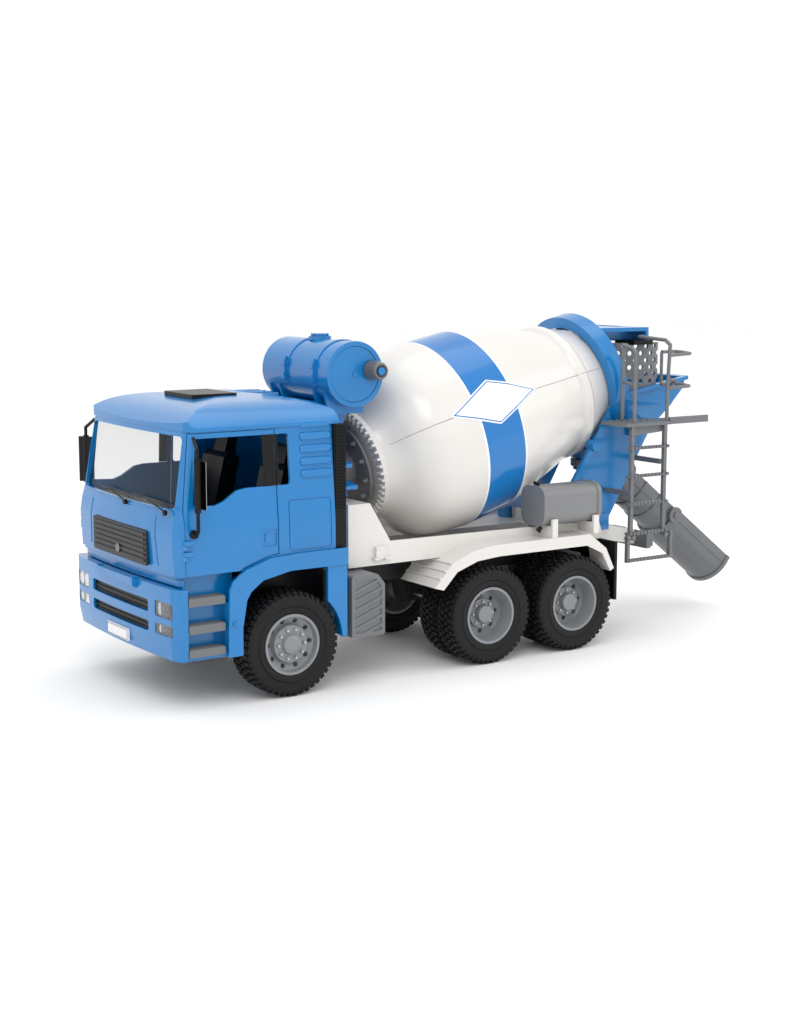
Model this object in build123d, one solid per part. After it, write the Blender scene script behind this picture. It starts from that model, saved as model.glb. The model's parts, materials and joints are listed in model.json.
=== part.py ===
from build123d import *
from functools import lru_cache
import math
import os

# A toy concrete mixer lorry at about 1:16. X runs from the nose (-X) to the chute (+X),
# Y from the left side (-Y) to the right side (+Y), and Z up from the ground.
# Every place below is measured from the front axle's centre line; save() then moves each
# piece so that the origin lies on the ground under the middle of the whole toy.

# ---- driving dimensions, in millimetres and degrees ----
FRONT_AXLE_X = -207.5
MID_AXLE = 184.2
REAR_AXLE = 271.8
AXLE_Z = 40.0
AXLE_R = 2.5
TYRE_R = 40.0
RIM_R = 23.2
HALF_WIDTH = 92.5
TYRE_WIDTH = 27.0
DUAL_WIDTH = 22.0
DUAL_GAP = 3.0
RUNNING_FIT = 0.05
SEAT_GAP = 0.35

RAIL_IN = 24.0
RAIL_OUT = 31.0
RAIL_BOTTOM = 66.0
RAIL_TOP = 82.0
RAIL_FRONT = -84.0
RAIL_REAR = 330.0

CAB_FRONT = -95.3
CAB_REAR = 48.5
CAB_FLOOR = 100.0
CAB_EAVES = 203.0
CAB_CROWN = 223.0
CAB_WALL = 2.4
CAB_PIVOT = (-88.0, 95.0)
CAB_PIN_R = 2.0

DRUM_AXIS = (128.0, 163.28)
DRUM_TILT = 13.79
DRUM_WALL = 2.2
BAND_START = 60.3
BAND_END = 100.3
SEAM_TURN = 21.0

RING_TEETH = 48
TOWER_TEETH = 9
RING_MODULE = 1.8
RING_TIPS = -21.0
CRANK_TEETH = 24
TOP_TEETH = 8
TOP_MODULE = 1.5
SHAFT_R = 2.0

TANK_R = 25.6
TANK_WALL = 2.0
TANK_HALF = 51.0
DISC_R = 21.5
KNOB_BACK = 15.0
KNOB_UP = 2.6

# ---- what follows from them ----
TILT = math.radians(DRUM_TILT)
ALONG = Vector(math.cos(TILT), 0, math.sin(TILT))
ACROSS = Vector(-math.sin(TILT), 0, math.cos(TILT))
DRUM_CENTRE = Vector(DRUM_AXIS[0], 0, DRUM_AXIS[1])
DRUM_PLANE = Plane(origin=DRUM_CENTRE, x_dir=ACROSS, z_dir=ALONG)
RING_R = RING_TEETH * RING_MODULE / 2
TOWER_PITCH_R = TOWER_TEETH * RING_MODULE / 2
ADDENDUM = 1.0
SHAFT_S = RING_TIPS + ADDENDUM - TOWER_PITCH_R
SHAFT_BASE = DRUM_CENTRE + ALONG * SHAFT_S
CRANK_PITCH_R = CRANK_TEETH * TOP_MODULE / 2
TOP_PITCH_R = TOP_TEETH * TOP_MODULE / 2
TANK_T = 81.9
TANK_CENTRE = SHAFT_BASE + ACROSS * TANK_T
SHAFT_PLANE = Plane(origin=SHAFT_BASE, x_dir=(0, 1, 0), z_dir=ACROSS)


# ---- drawing helpers ----
def block(x0, x1, y0, y1, z0, z1):
    """A square-cut block between two corners."""
    middle = Pos((x0 + x1) / 2, (y0 + y1) / 2, (z0 + z1) / 2)
    return middle * Box(x1 - x0, y1 - y0, z1 - z0)


def outline(points, corner=0):
    """A closed flat outline with straight sides and, if wanted, equally rounded corners."""
    shape = make_face(Polyline(*points, close=True))
    if corner:
        shape = fillet(shape.vertices(), corner)
    return shape


def slab_y(points, y0, y1, corner=0):
    """An outline drawn from the side, in (x, z), thick from y0 to y1."""
    shape = Pos(0, y0, 0) * (Plane.XZ * outline(points, corner))
    return extrude(shape, amount=y1 - y0, dir=(0, 1, 0))


def slab_x(points, x0, x1, corner=0):
    """An outline drawn from the front, in (y, z), thick from x0 to x1."""
    shape = Pos(x0, 0, 0) * (Plane.YZ * outline(points, corner))
    return extrude(shape, amount=x1 - x0, dir=(1, 0, 0))


def slab_z(points, z0, z1, corner=0):
    """An outline drawn from above, in (x, y), thick from z0 to z1."""
    shape = Pos(0, 0, z0) * outline(points, corner)
    return extrude(shape, amount=z1 - z0, dir=(0, 0, 1))


def rod(start, end, radius):
    """A round bar between two points."""
    line = Vector(*end) - Vector(*start)
    plane = Plane(origin=Vector(*start), z_dir=line)
    return extrude(plane * Circle(radius), amount=line.length)


def rod_y(x, z, radius, y0, y1):
    """A round bar lying across the toy."""
    return rod((x, y0, z), (x, y1, z), radius)


def turned(plane, profile):
    """A turned piece: (distance along the axis, radius) points revolved about a plane's axis."""
    points = [(radius, along) for along, radius in profile]
    shape = Plane.XZ * make_face(Polyline(*points, close=True))
    return plane * revolve(shape, axis=Axis.Z)


def mirrored(shape):
    """The same piece on the right-hand side."""
    return mirror(shape, about=Plane.XZ)


def joined(pieces):
    """Several shapes made into one solid piece."""
    total = pieces[0]
    for piece in pieces[1:]:
        total = total + piece
    return total


def save(name, *solids):
    """Writes one sub-part, moved so that the origin is under the middle of the toy."""
    shift = Pos(FRONT_AXLE_X, 0, 0)
    parts = []
    for solid in solids:
        parts.extend(solid.solids())
    moved = [shift * part for part in parts]
    export_step(moved[0] if len(moved) == 1 else Compound(children=moved), f"parts/{name}.step")


# ---- wheels and axles ----
def wheel_plane(x, side):
    """A plane at an axle's centre whose axis points out to one side."""
    return Plane(origin=(x, 0, AXLE_Z), x_dir=(1, 0, 0), z_dir=(0, side, 0))


def axle(x, reach):
    """A steel pin right across the toy, with both wheels pressed on it."""
    return rod_y(x, AXLE_Z, AXLE_R, -reach, reach)


def tyre(plane, inner, outer):
    """A rubber tyre with rounded shoulders and a shallow groove in the middle of its tread."""
    middle = (inner + outer) / 2
    profile = [
        (inner, RIM_R + 3), (inner, TYRE_R - 5), (inner + 2.5, TYRE_R - 0.8), (inner + 5, TYRE_R),
        (middle - 1, TYRE_R), (middle - 1, TYRE_R - 1.5), (middle + 1, TYRE_R - 1.5),
        (middle + 1, TYRE_R), (outer - 5, TYRE_R), (outer - 2.5, TYRE_R - 0.8),
        (outer, TYRE_R - 5), (outer, RIM_R + 3), (outer - 2, RIM_R), (inner + 2, RIM_R),
    ]
    return turned(plane, profile)


def ring_of_holes(plane, count, at, radius, low, high):
    """Round cutters set in a circle."""
    holes = Sketch() + [spot * Circle(radius) for spot in PolarLocations(at, count)]
    start = Plane(plane.origin + plane.z_dir * low, x_dir=plane.x_dir, z_dir=plane.z_dir)
    return extrude(start * holes, amount=high - low)


def front_rim(side):
    """A front rim: domed hub, ten wheel nuts and ten windows in a slightly dished face."""
    plane = wheel_plane(0, side)
    outer = HALF_WIDTH - 1.0
    inner = HALF_WIDTH - TYRE_WIDTH
    profile = [
        (inner, AXLE_R), (inner, 9), (outer - 12, 9), (outer - 12, 18), (inner, 21.2),
        (inner, RIM_R), (outer, RIM_R), (outer, RIM_R - 2), (outer - 5, RIM_R - 2.6),
        (outer - 7, 15), (outer - 3, 14), (outer - 3, 8), (outer, 7), (outer + 1, 4.5),
        (outer + 1, 0), (outer - 13, 0), (outer - 13, AXLE_R),
    ]
    body = turned(plane, profile)
    windows = ring_of_holes(plane, 10, 17.7, 1.9, outer - 16, outer)
    nuts = ring_of_holes(plane, 10, 11.2, 1.3, outer - 4, outer - 1.4)
    return body - windows + nuts


def rear_rim(x, side):
    """A rear rim: a deep dish between two tyres, with eight windows, eight nuts and a hub cap."""
    plane = wheel_plane(x, side)
    outer = HALF_WIDTH - 1.0
    inner = HALF_WIDTH - 2 * DUAL_WIDTH - DUAL_GAP
    floor = outer - 15
    profile = [
        (inner, AXLE_R), (inner, 8), (floor - 4, 8), (floor - 4, 19), (inner, 21),
        (inner, RIM_R), (outer, RIM_R), (outer, RIM_R - 2), (floor + 2, RIM_R - 4),
        (floor, 17.5), (floor, 12.5), (floor + 3, 12), (floor + 3, 7.5), (floor + 8, 6.8),
        (floor + 8, 0), (floor - 5, 0), (floor - 5, AXLE_R),
    ]
    body = turned(plane, profile)
    windows = ring_of_holes(plane, 8, 15.2, 2.0, floor - 6, floor + 4)
    nuts = ring_of_holes(plane, 8, 9.8, 1.1, floor + 2, floor + 4.4)
    return body - windows + nuts


def wheels():
    """Three axles, each with its own rims and tyres, so that each one turns by itself."""
    for name, x in (("front", 0.0), ("middle", MID_AXLE), ("rear", REAR_AXLE)):
        reach = HALF_WIDTH - (14 if name == "front" else 21)
        save(f"{name}_axle", axle(x, reach))
        rims = []
        tyres = []
        for side in (-1, 1):
            plane = wheel_plane(x, side)
            if name == "front":
                rims.append(front_rim(side))
                tyres.append(tyre(plane, HALF_WIDTH - TYRE_WIDTH, HALF_WIDTH))
                continue
            rims.append(rear_rim(x, side))
            tyres.append(tyre(plane, HALF_WIDTH - DUAL_WIDTH, HALF_WIDTH))
            second = HALF_WIDTH - DUAL_WIDTH - DUAL_GAP
            tyres.append(tyre(plane, second - DUAL_WIDTH, second))
        save(f"{name}_rims", *rims)
        save(f"{name}_tyres", *tyres)


# ---- chassis ----
def chassis_frame():
    """Two long rails, cross members, a bearing block at each wheel side and the cab's pivot pins."""
    pieces = []
    for side in (-1, 1):
        low, high = sorted((side * RAIL_IN, side * RAIL_OUT))
        pieces.append(block(RAIL_FRONT, RAIL_REAR, low, high, RAIL_BOTTOM, RAIL_TOP))
        for x in (0.0, MID_AXLE, REAR_AXLE):
            near, far = sorted((side * 18, side * 38))
            carrier = slab_y([(x - 16, RAIL_BOTTOM), (x + 16, RAIL_BOTTOM), (x + 7, 34), (x - 7, 34)],
                             near, far)
            hole = rod_y(x, AXLE_Z, AXLE_R + RUNNING_FIT, near - 1, far + 1)
            pieces.append(carrier - hole)
        pivot_x, pivot_z = CAB_PIVOT
        bracket = [(-84, RAIL_TOP), (-74, RAIL_TOP), (-74, 97), (-80, 99), (pivot_x, 99),
                   (pivot_x - 3.5, pivot_z), (pivot_x, pivot_z - 3.2), (-84, pivot_z - 3.2)]
        pieces.append(slab_y(bracket, *sorted((side * 27, side * RAIL_OUT))))
        pieces.append(rod_y(pivot_x, pivot_z, CAB_PIN_R, *sorted((side * 28, side * 42))))
    for x in (-78, 62, 136, 228, 322):
        pieces.append(block(x - 4, x + 4, -RAIL_IN - 1, RAIL_IN + 1, RAIL_BOTTOM + 2, RAIL_TOP - 3))
    return joined(pieces)


def engine_block():
    """The toy engine under the cab: sump, ribbed block and cover, seen when the cab is tipped."""
    pieces = [
        block(-52, 34, -16, 16, 56, 84),
        block(-48, 30, -11, 11, 84, 94),
        block(-40, 22, -13, 13, 48, 56),
        rod((-66, 0, 72), (-52, 0, 72), 12),
        block(-30, -18, -RAIL_IN, RAIL_IN, 66, 72),
    ]
    for step in range(6):
        x = -44 + 14 * step
        pieces.append(block(x, x + 5, -17.7, 17.7, 62, 80))
    return joined(pieces)


def nose_face(front, half_width, rear):
    """The plan of the truck's nose: a gently bowed front with tightly rounded corners."""
    start_x = front + 3.5
    start_y = half_width - 9
    side_x = front + 7
    front_edge = ThreePointArc((start_x, -start_y), (front, 0), (start_x, start_y))
    right = Line((start_x, start_y), (side_x, half_width))
    left = Line((side_x, -half_width), (start_x, -start_y))
    back = Polyline((side_x, half_width), (rear, half_width), (rear, -half_width), (side_x, -half_width))
    face = make_face([front_edge, right, back, left])
    turns = [v for v in face.vertices() if v.X < side_x + 1]
    return fillet(turns, 3.5)


LAMP_ROWS = ((55.5, 63.5), (68.5, 80.0))
BUMPER_FRONT = -99.0
BUMPER_REAR = -86.0


def nose_layer(front, half_width, low, high):
    """A level slice of the bumper's outside or inside, cut off square at its rear."""
    layer = extrude(Pos(0, 0, low) * nose_face(front, half_width, -60), amount=high - low, dir=(0, 0, 1))
    return layer - block(BUMPER_REAR, -50, -100, 100, low - 1, high + 1)


def front_bumper():
    """A hollow bumper with two long air slots, lamp pockets and a folding step bar at the top."""
    wall = 3.0
    shell = nose_layer(BUMPER_FRONT, 92.0, 50, 91)
    lip = loft([Pos(0, 0, 38) * nose_face(BUMPER_FRONT + 1.8, 90.6, -60),
                Pos(0, 0, 50) * nose_face(BUMPER_FRONT, 92.0, -60)])
    shell = shell + (lip - block(BUMPER_REAR, -50, -100, 100, 30, 60))
    shell = shell - nose_layer(BUMPER_FRONT + wall, 92.0 - wall, 30, 88.5)
    for low, high in ((55.0, 63.0), (69.5, 78.6)):
        shell = shell - slab_x([(-50, low), (50, low), (50, high), (-50, high)], -105, -90, 2.5)
    for side in (-1, 1):
        for low, high in LAMP_ROWS:
            near, far = sorted((side * 60.3, side * 84.7))
            shell = shell - slab_x([(near, low), (far, low), (far, high), (near, high)], -110, -88, 1.5)
        mount = sorted((side * RAIL_IN, side * RAIL_OUT))
        shell = shell + block(-96.6, -88, *mount, 79.2, 88.5) + block(-92, RAIL_FRONT, *mount, 66, 80)
    backing = block(-93, -91, -53, 53, 52, 82)
    bar = slab_x([(-31, 86), (31, 86), (31, 92), (-31, 92)], -102.4, -98.0, 1.5)
    return shell + backing + bar


def headlamps():
    """Four clear lenses that sit in the bumper's pockets, two on each side."""
    lenses = []
    for side in (-1, 1):
        for low, high in LAMP_ROWS:
            near, far = sorted((side * 60.5, side * 84.5))
            window = slab_x([(near, low + 0.2), (far, low + 0.2), (far, high - 0.2), (near, high - 0.2)],
                            -110, -88, 1.3)
            cover = nose_layer(BUMPER_FRONT + 0.4, 91.6, low, high)
            core = nose_layer(BUMPER_FRONT + 2.6, 89.4, low - 1, high + 1)
            lenses.append((window & cover) - core)
    return lenses


ARCH_OUTER = [(-54.8, 38), (-54.8, 52), (-53.6, 87.5), (-50.5, 94), (-40, 101), (-19.3, 107.8),
              (6, 109.2), (47.2, 109.5)]
ARCH_INNER = [(47.2, 96.8), (-2.5, 96.8), (-26, 92), (-36, 84.5), (-39.6, 78.7), (-43.2, 58), (-43.2, 38)]
ARCH_LINING = [(-45.4, 58), (-41.8, 79.6), (-37.6, 86.3), (-26.8, 94.1), (-3.2, 99.2), (47.2, 99.2)]


def wheel_arch():
    """The left arch: a broad lip over the wheel, its lining, the step well and the mudguard behind."""
    lip = slab_y(ARCH_OUTER + ARCH_INNER, -94.6, -92.1)
    lining = slab_y(ARCH_INNER[:-1] + ARCH_LINING, -92.6, -46)
    post = block(-54.2, -44.6, -92.6, -80, 38.5, 78)
    well = block(-85.4, -45.0, -81.5, -79, 38, 99)
    well_floor = block(-85.4, -54, -89.5, -79.5, 38, 40.5)
    guard = block(30, 46.8, -93.4, -70, 41, 98)
    guard = guard - rod_y(0, AXLE_Z, TYRE_R + 2.5, -95, -60)
    guard = guard - block(29, 44, -90.4, -60, 40, 96)
    arm = block(-4, 4, -47, -RAIL_OUT, 90, 99) + block(-4, 4, -37, -RAIL_OUT, 68, 92)
    boss = rod((-49, -95.6, 62), (-49, -94, 62), 2.4)
    return joined([lip, lining, post, well, well_floor, guard, arm, boss])


def step_treads():
    """Six grey ribbed step plates, three in each step well."""
    treads = []
    for side in (-1, 1):
        for top in (84.0, 64.0, 46.5):
            tread = slab_y([(-85.2, top - 6), (-56, top - 6), (-56, top), (-85.2, top)], -91.8, -81.6, 0.8)
            for step in range(4):
                y = -90.6 + 2.4 * step
                tread = tread + block(-84, -57, y, y + 1.1, top - 0.1, top + 0.5)
            treads.append(mirrored(tread) if side > 0 else tread)
    return treads


def battery_box():
    """The left equipment box: bevelled, with slanting ribs on its face and a bracket to the rail."""
    body = slab_y([(51.5, 38), (81.4, 38), (81.4, 78), (75, 86), (51.5, 86)], -92.6, -46, 2)
    recess = slab_y([(54.5, 41.5), (78.4, 41.5), (78.4, 76), (73.6, 82.5), (54.5, 82.5)], -94, -91.6, 1)
    body = body - recess
    for step in range(7):
        z = 36 + 7.2 * step
        rib = slab_y([(54, z), (79, z + 9), (79, z + 11.4), (54, z + 2.4)], -92.6, -91.5)
        body = body + (rib & recess)
    bracket = block(60, 74, -46.5, -RAIL_OUT, 68, 79)
    return body + bracket


# ---- white mixer bed and rear mudguards ----
BED_TOP = 106.0
BED_FLOOR = 92.0
BED_HALF = 70.6
PEDESTAL_TOP = 137.4


def mixer_bed():
    """The white bed: a floor on the rails, raised sides, a pedestal in front and a tapering tail."""
    wall = 3.0
    floor = block(62, 314, -BED_HALF, BED_HALF, BED_FLOOR - 4, BED_FLOOR)
    floor = floor - block(120, 300, -20, 20, 80, 95)
    pieces = [floor]
    side_view = [(62, BED_FLOOR - 4), (62, PEDESTAL_TOP), (82, PEDESTAL_TOP), (101, BED_TOP),
                 (314, BED_TOP - 2), (320, BED_FLOOR - 4)]
    tail_view = [(310, 88), (310, 102), (350, 93), (377, 87), (377, 74), (347, 80), (320, 82)]
    for side in (-1, 1):
        outer, inner = side * BED_HALF, side * (BED_HALF - wall)
        pieces.append(slab_y(side_view, *sorted((outer, inner))))
        pieces.append(block(70, 322, *sorted((side * RAIL_IN, side * RAIL_OUT)), RAIL_TOP, BED_FLOOR - 3))
        pieces.append(slab_y(tail_view, *sorted((side * 40, side * 46))))
        pieces.append(block(86, 96, *sorted((side * 70.2, side * 73.4)), 93, 103))
    pieces.append(block(62, 65, -BED_HALF, BED_HALF, BED_FLOOR - 4, PEDESTAL_TOP))
    pieces.append(block(62, 82, -BED_HALF, BED_HALF, PEDESTAL_TOP - 3, PEDESTAL_TOP))
    pieces.append(block(370, 377, -46, 46, 75, 86))
    for x in (249.0, 293.0):
        pieces.append(block(x - 2.8, x + 2.8, -92, -BED_HALF + 1, 97.5, 107))
        pieces.append(block(x - 2.8, x + 2.8, -92.3, -89.6, 97.5, 113))
        pieces.append(block(x - 2.8, x + 2.8, -59.6, -56, BED_FLOOR - 1, 113))
    return joined(pieces)


FENDER_LINE = [(137.0, 66.0), (150, 79.3), (170, 86.2), (192, 88.0), (283.3, 88.0), (300, 80), (309, 64)]


def rear_fender():
    """The left rear mudguard over both rear wheels, pressed in one sheet with a ribbed front flap."""
    upper = [(305 + 8, 66), (304, 84), (286, 97.5), (186, 97.5), (166, 95), (146, 87), (128.5, 68.5)]
    sheet = slab_y(FENDER_LINE + upper, -HALF_WIDTH, -BED_HALF)
    under = [(131, 62), (148.5, 82.2), (168.5, 89.0), (191, 91.0), (284, 91.0), (303, 83), (306.5, 62)]
    floor = [(310, 60), (127, 60)]
    sheet = sheet - slab_y(under + floor, -HALF_WIDTH + 2.2, -BED_HALF + 2.2)
    flap_outer = [(137, 66), (150, 79.3), (160, 83.2), (158, 91.5), (146, 87), (128.5, 68.5)]
    inner_flap = slab_y(flap_outer, -BED_HALF, -43.6)
    trim = slab_y([(139.5, 62), (148.5, 82.2), (162, 86.7), (170, 70)], -BED_HALF - 1, -43)
    sheet = sheet + (inner_flap - trim)
    for x, z in ((134.5, 75.2), (139.5, 80.8), (145.0, 86.4)):
        sheet = sheet + rod((x, -HALF_WIDTH + 0.5, z), (x, -44, z), 1.0)
    return sheet - block(120, 322, -BED_HALF, -40, BED_FLOOR - 4, 110)


def mudflaps():
    """Two black mudflaps behind the rear wheels, hung from an arm off the rails."""
    flaps = []
    for side in (-1, 1):
        flap = block(315, 318, -91, -46, 38, 87.9)
        arm = block(315, 323, -50, -RAIL_OUT, 72, 80)
        piece = flap + arm
        flaps.append(mirrored(piece) if side > 0 else piece)
    return flaps


# ---- drum and its gearing ----
DRUM_PROFILE = [(-14, 46), (-4, 53), (6, 64.5), (18, 74), (36, 78.8), (BAND_START, 80.8)]
DRUM_TAIL = [(BAND_END, 79.6), (130, 72.0), (158, 64.4), (183, 57.6)]
DRUM_MOUTH = [(183, 57.6), (186, 59.6), (192, 59.6), (196, 56.4), (222, 48.0)]


def drum_solid(inset):
    """The drum's full round shape, smaller all over by an inset and, inside, open at the mouth."""
    start = DRUM_PROFILE[0][0] + inset
    end = DRUM_MOUTH[-1][0] + inset
    front = [(r - inset, max(s, start)) for s, r in DRUM_PROFILE]
    tail = [(r - inset, s) for s, r in DRUM_TAIL + DRUM_MOUTH[1:-1]]
    tail.append((DRUM_MOUTH[-1][1] - inset, end))
    head = Spline(*front)
    rear = Polyline(front[-1], *tail, (0, end), (0, start), front[0])
    shape = Plane.XZ * make_face([head, rear])
    return DRUM_PLANE * revolve(shape, axis=Axis.Z)


def drum_parts():
    """Two half shells with a printed band sunk in them, mixing fins inside and a crown gear."""
    solid = drum_solid(0)
    cavity = drum_solid(DRUM_WALL)
    band_depth = 0.6
    groove = turned(DRUM_PLANE, [(BAND_START, 85), (BAND_END, 85), (BAND_END, 79.6 - band_depth),
                                 (BAND_START, 80.8 - band_depth)])
    shell = solid - cavity - groove
    split = DRUM_PLANE * Rot(0, 0, -SEAM_TURN)
    upper_half = split * Pos(100, 0, 105) * Box(200, 300, 300)
    lower_half = split * Pos(-100, 0, 105) * Box(200, 300, 300)
    pin = rod(tuple(DRUM_CENTRE + ALONG * -36), tuple(DRUM_CENTRE + ALONG * -14), 6.0)
    save("drum_shell_upper", shell & upper_half)
    save("drum_shell_lower", shell & lower_half)
    save("drum_band", groove & solid)
    save("crown_gear", crown_gear() + pin)
    save("mixing_fins", *mixing_fins(cavity))


def tooth(base, tip, height, width):
    """One straight gear tooth standing along Z from z = 0, its length along X."""
    shape = make_face(Polyline((-base / 2, 0), (base / 2, 0), (tip / 2, height), (-tip / 2, height),
                               close=True))
    flat = Plane(origin=(-width / 2, 0, 0), x_dir=(0, 1, 0), z_dir=(1, 0, 0)) * shape
    return extrude(flat, amount=width, dir=(1, 0, 0))


def crown_gear():
    """The white crown gear on the drum's front: forty-eight teeth that face forward."""
    root = RING_TIPS + 2.6
    disc = turned(DRUM_PLANE, [(root, 0), (root, 46), (-14, 46), (-14, 0)])
    facing = Plane(origin=DRUM_CENTRE + ALONG * root, x_dir=ACROSS, z_dir=-ALONG)
    teeth = []
    for step in range(RING_TEETH):
        turn = Rot(0, 0, (step + 0.5) * 360 / RING_TEETH)
        teeth.append(facing * turn * Pos(RING_R, 0, -0.2) * tooth(2.4, 1.4, 2.8, 5.4))
    return disc.fuse(*teeth)


def mixing_fins(cavity):
    """Two rows of slanting fins set round the inside wall as a broken screw."""
    fins = []
    for row in (0, 180):
        for step in range(6):
            s = 52 + 22 * step
            reach = 74 - 6.5 * max(step - 1, 0)
            place = Pos(0, 0, s) * Rot(0, 0, row + 62 * step) * Pos(reach, 0, 0) * Rot(28, 0, 0)
            fin = DRUM_PLANE * place * Box(26, 44, 1.6)
            fins.append(fin & cavity)
    return fins


def spur_teeth(plane, count, root_r, tip_r, width, base, tip):
    """Straight teeth round a small gear, from its root circle out."""
    teeth = []
    for step in range(count):
        shape = Rot(0, 0, step * 360 / count) * Pos(root_r - 0.4, 0, 0) * Rot(0, 90, 0)
        teeth.append(plane * shape * tooth(base, tip, tip_r - root_r + 0.4, width))
    return teeth


PINION_T = RING_R
TOP_PINION_T = TANK_T - CRANK_PITCH_R


def drive_shaft():
    """The upright shaft in the tower, with one pinion for the drum and one for the hand crank."""
    shaft = turned(SHAFT_PLANE, [(19.4, 0), (66.9, 0), (66.9, SHAFT_R), (19.4, SHAFT_R)])
    pieces = []
    gears = ((PINION_T, TOWER_TEETH, 6.5, TOWER_PITCH_R + ADDENDUM, 5.0),
             (TOP_PINION_T, TOP_TEETH, 4.6, TOP_PITCH_R + ADDENDUM, 5.0))
    for at, count, root_r, tip_r, width in gears:
        plane = Plane(origin=SHAFT_BASE + ACROSS * at, x_dir=ALONG if count == TOWER_TEETH else (0, -1, 0),
                      z_dir=ACROSS)
        blank = [(-width / 2, 0), (width / 2, 0), (width / 2, root_r), (-width / 2, root_r)]
        pieces.append(turned(plane, blank))
        pieces.extend(spur_teeth(plane, count, root_r, tip_r, width, 2.0, 1.2))
    return shaft.fuse(*pieces)


def gearbox():
    """The dark bearing housing in front of the drum: a bolted flange, a hub and the shaft's foot."""
    bore = turned(DRUM_PLANE, [(-40, 0), (-20, 0), (-20, 6 + RUNNING_FIT), (-40, 6 + RUNNING_FIT)])
    flange = turned(DRUM_PLANE, [(-25.6, 0), (-23.2, 0), (-23.2, 36), (-25.6, 36)])
    hub = turned(DRUM_PLANE, [(-72, 0), (-25, 0), (-25, 16), (-72, 16)])
    hub = hub & block(66, 130, -30, 30, PEDESTAL_TOP, 220)
    foot = turned(SHAFT_PLANE, [(8, 0), (24, 0), (24, 5), (8, 5)]) - turned(
        DRUM_PLANE, [(-25.5, 0), (-15, 0), (-15, 30), (-25.5, 30)])
    foot_bore = turned(SHAFT_PLANE, [(19.2, 0), (30, 0), (30, SHAFT_R + RUNNING_FIT),
                                     (19.2, SHAFT_R + RUNNING_FIT)])
    bolts = []
    facing = Plane(origin=DRUM_CENTRE + ALONG * -25.4, x_dir=ACROSS, z_dir=-ALONG)
    for step in range(12):
        spot = Rot(0, 0, 15 + 30 * step) * Pos(31, 0, 0.9)
        bolts.append(facing * spot * Cylinder(2.0, 2.4))
    return (flange + hub + foot).fuse(*bolts) - bore - foot_bore


def drum_tower():
    """The blue tower: a channel open to the rear, outrigger ribs and the cradle under the tank."""
    front = block(62, 66, -28, 28, PEDESTAL_TOP, 214)
    pieces = [front]
    side_view = [(62, PEDESTAL_TOP), (88, PEDESTAL_TOP), (84, 160), (84, 196), (90, 214), (62, 214)]
    for side in (-1, 1):
        pieces.append(slab_y(side_view, *sorted((side * 25, side * 28))))
        for z, reach in ((150, 56), (166, 48)):
            rib = slab_x([(side * 27, z - 3), (side * reach, z - 3), (side * reach, z), (side * 27, z + 5)],
                         64, 80)
            pieces.append(rib)
        brace = [(side * 27, PEDESTAL_TOP), (side * 52, PEDESTAL_TOP), (side * 46, 152), (side * 27, 186)]
        pieces.append(slab_x(brace, 66, 69))
    for y in (-42.5, -27.5, 25.0, 40.0):
        pieces.append(slab_y([(62, 207), (90, 207), (104, 225), (57, 225)], y, y + 2.5))
    pieces.append(block(62, 94, -42.5, 42.5, 205, 210))
    tank = rod_y(TANK_CENTRE.X, TANK_CENTRE.Z, TANK_R, -60, 60)
    tower = joined(pieces) - tank
    guide_r = SHAFT_R + RUNNING_FIT
    guide = turned(SHAFT_PLANE, [(30, 0), (75, 0), (75, guide_r), (30, guide_r)])
    pinion_room = turned(SHAFT_PLANE, [(36, 0), (49.5, 0), (49.5, 11), (36, 11)])
    return tower - guide - pinion_room


def water_tank():
    """The blue tank: a hollow drum lying across, two straps with buckles and a filler on top."""
    cx, cz = TANK_CENTRE.X, TANK_CENTRE.Z
    body = rod_y(cx, cz, TANK_R, -TANK_HALF, TANK_HALF)
    hollow = rod_y(cx, cz, TANK_R - TANK_WALL, -46, TANK_HALF + 1)
    mouth = rod_y(cx, cz, DISC_R + SEAT_GAP, -TANK_HALF - 1, -40)
    body = body - hollow - mouth
    for y in (-34, 10):
        strap = rod_y(cx, cz, TANK_R + 0.8, y, y + 5) - rod_y(cx, cz, TANK_R - 1, y - 1, y + 6)
        seat = slab_y([(cx - 30, cz - 30), (cx + 30, cz - 30), (cx + 30, cz - 9), (cx - 30, cz - 9)],
                      y - 1, y + 6)
        front_x = cx - TANK_R
        buckle = block(front_x - 2.4, front_x + 1, y + 0.5, y + 4.5, cz - 2, cz + 9)
        body = body + (strap - seat) + buckle
    filler = rod((cx, 2, cz + TANK_R - 1), (cx, 2, cz + TANK_R + 2.2), 9)
    filler = filler + rod((cx, 2, cz + TANK_R + 2), (cx, 2, cz + TANK_R + 4.2), 6)
    body = body + (filler - hollow)
    guide = turned(SHAFT_PLANE, [(40, 0), (70, 0), (70, SHAFT_R + 1.2), (40, SHAFT_R + 1.2)])
    return body - guide


def tank_end_cap():
    """The plain right-hand end of the tank, with a blind bearing for the crank's shaft."""
    cx, cz = TANK_CENTRE.X, TANK_CENTRE.Z
    plug = rod_y(cx, cz, TANK_R - TANK_WALL, 46, TANK_HALF) + rod_y(cx, cz, 7, 38, 47)
    rim = rod_y(cx, cz, TANK_R - 0.8, TANK_HALF, TANK_HALF + 1.2)
    return plug + rim - rod_y(cx, cz, 3 + RUNNING_FIT, 30, 48)


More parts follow.
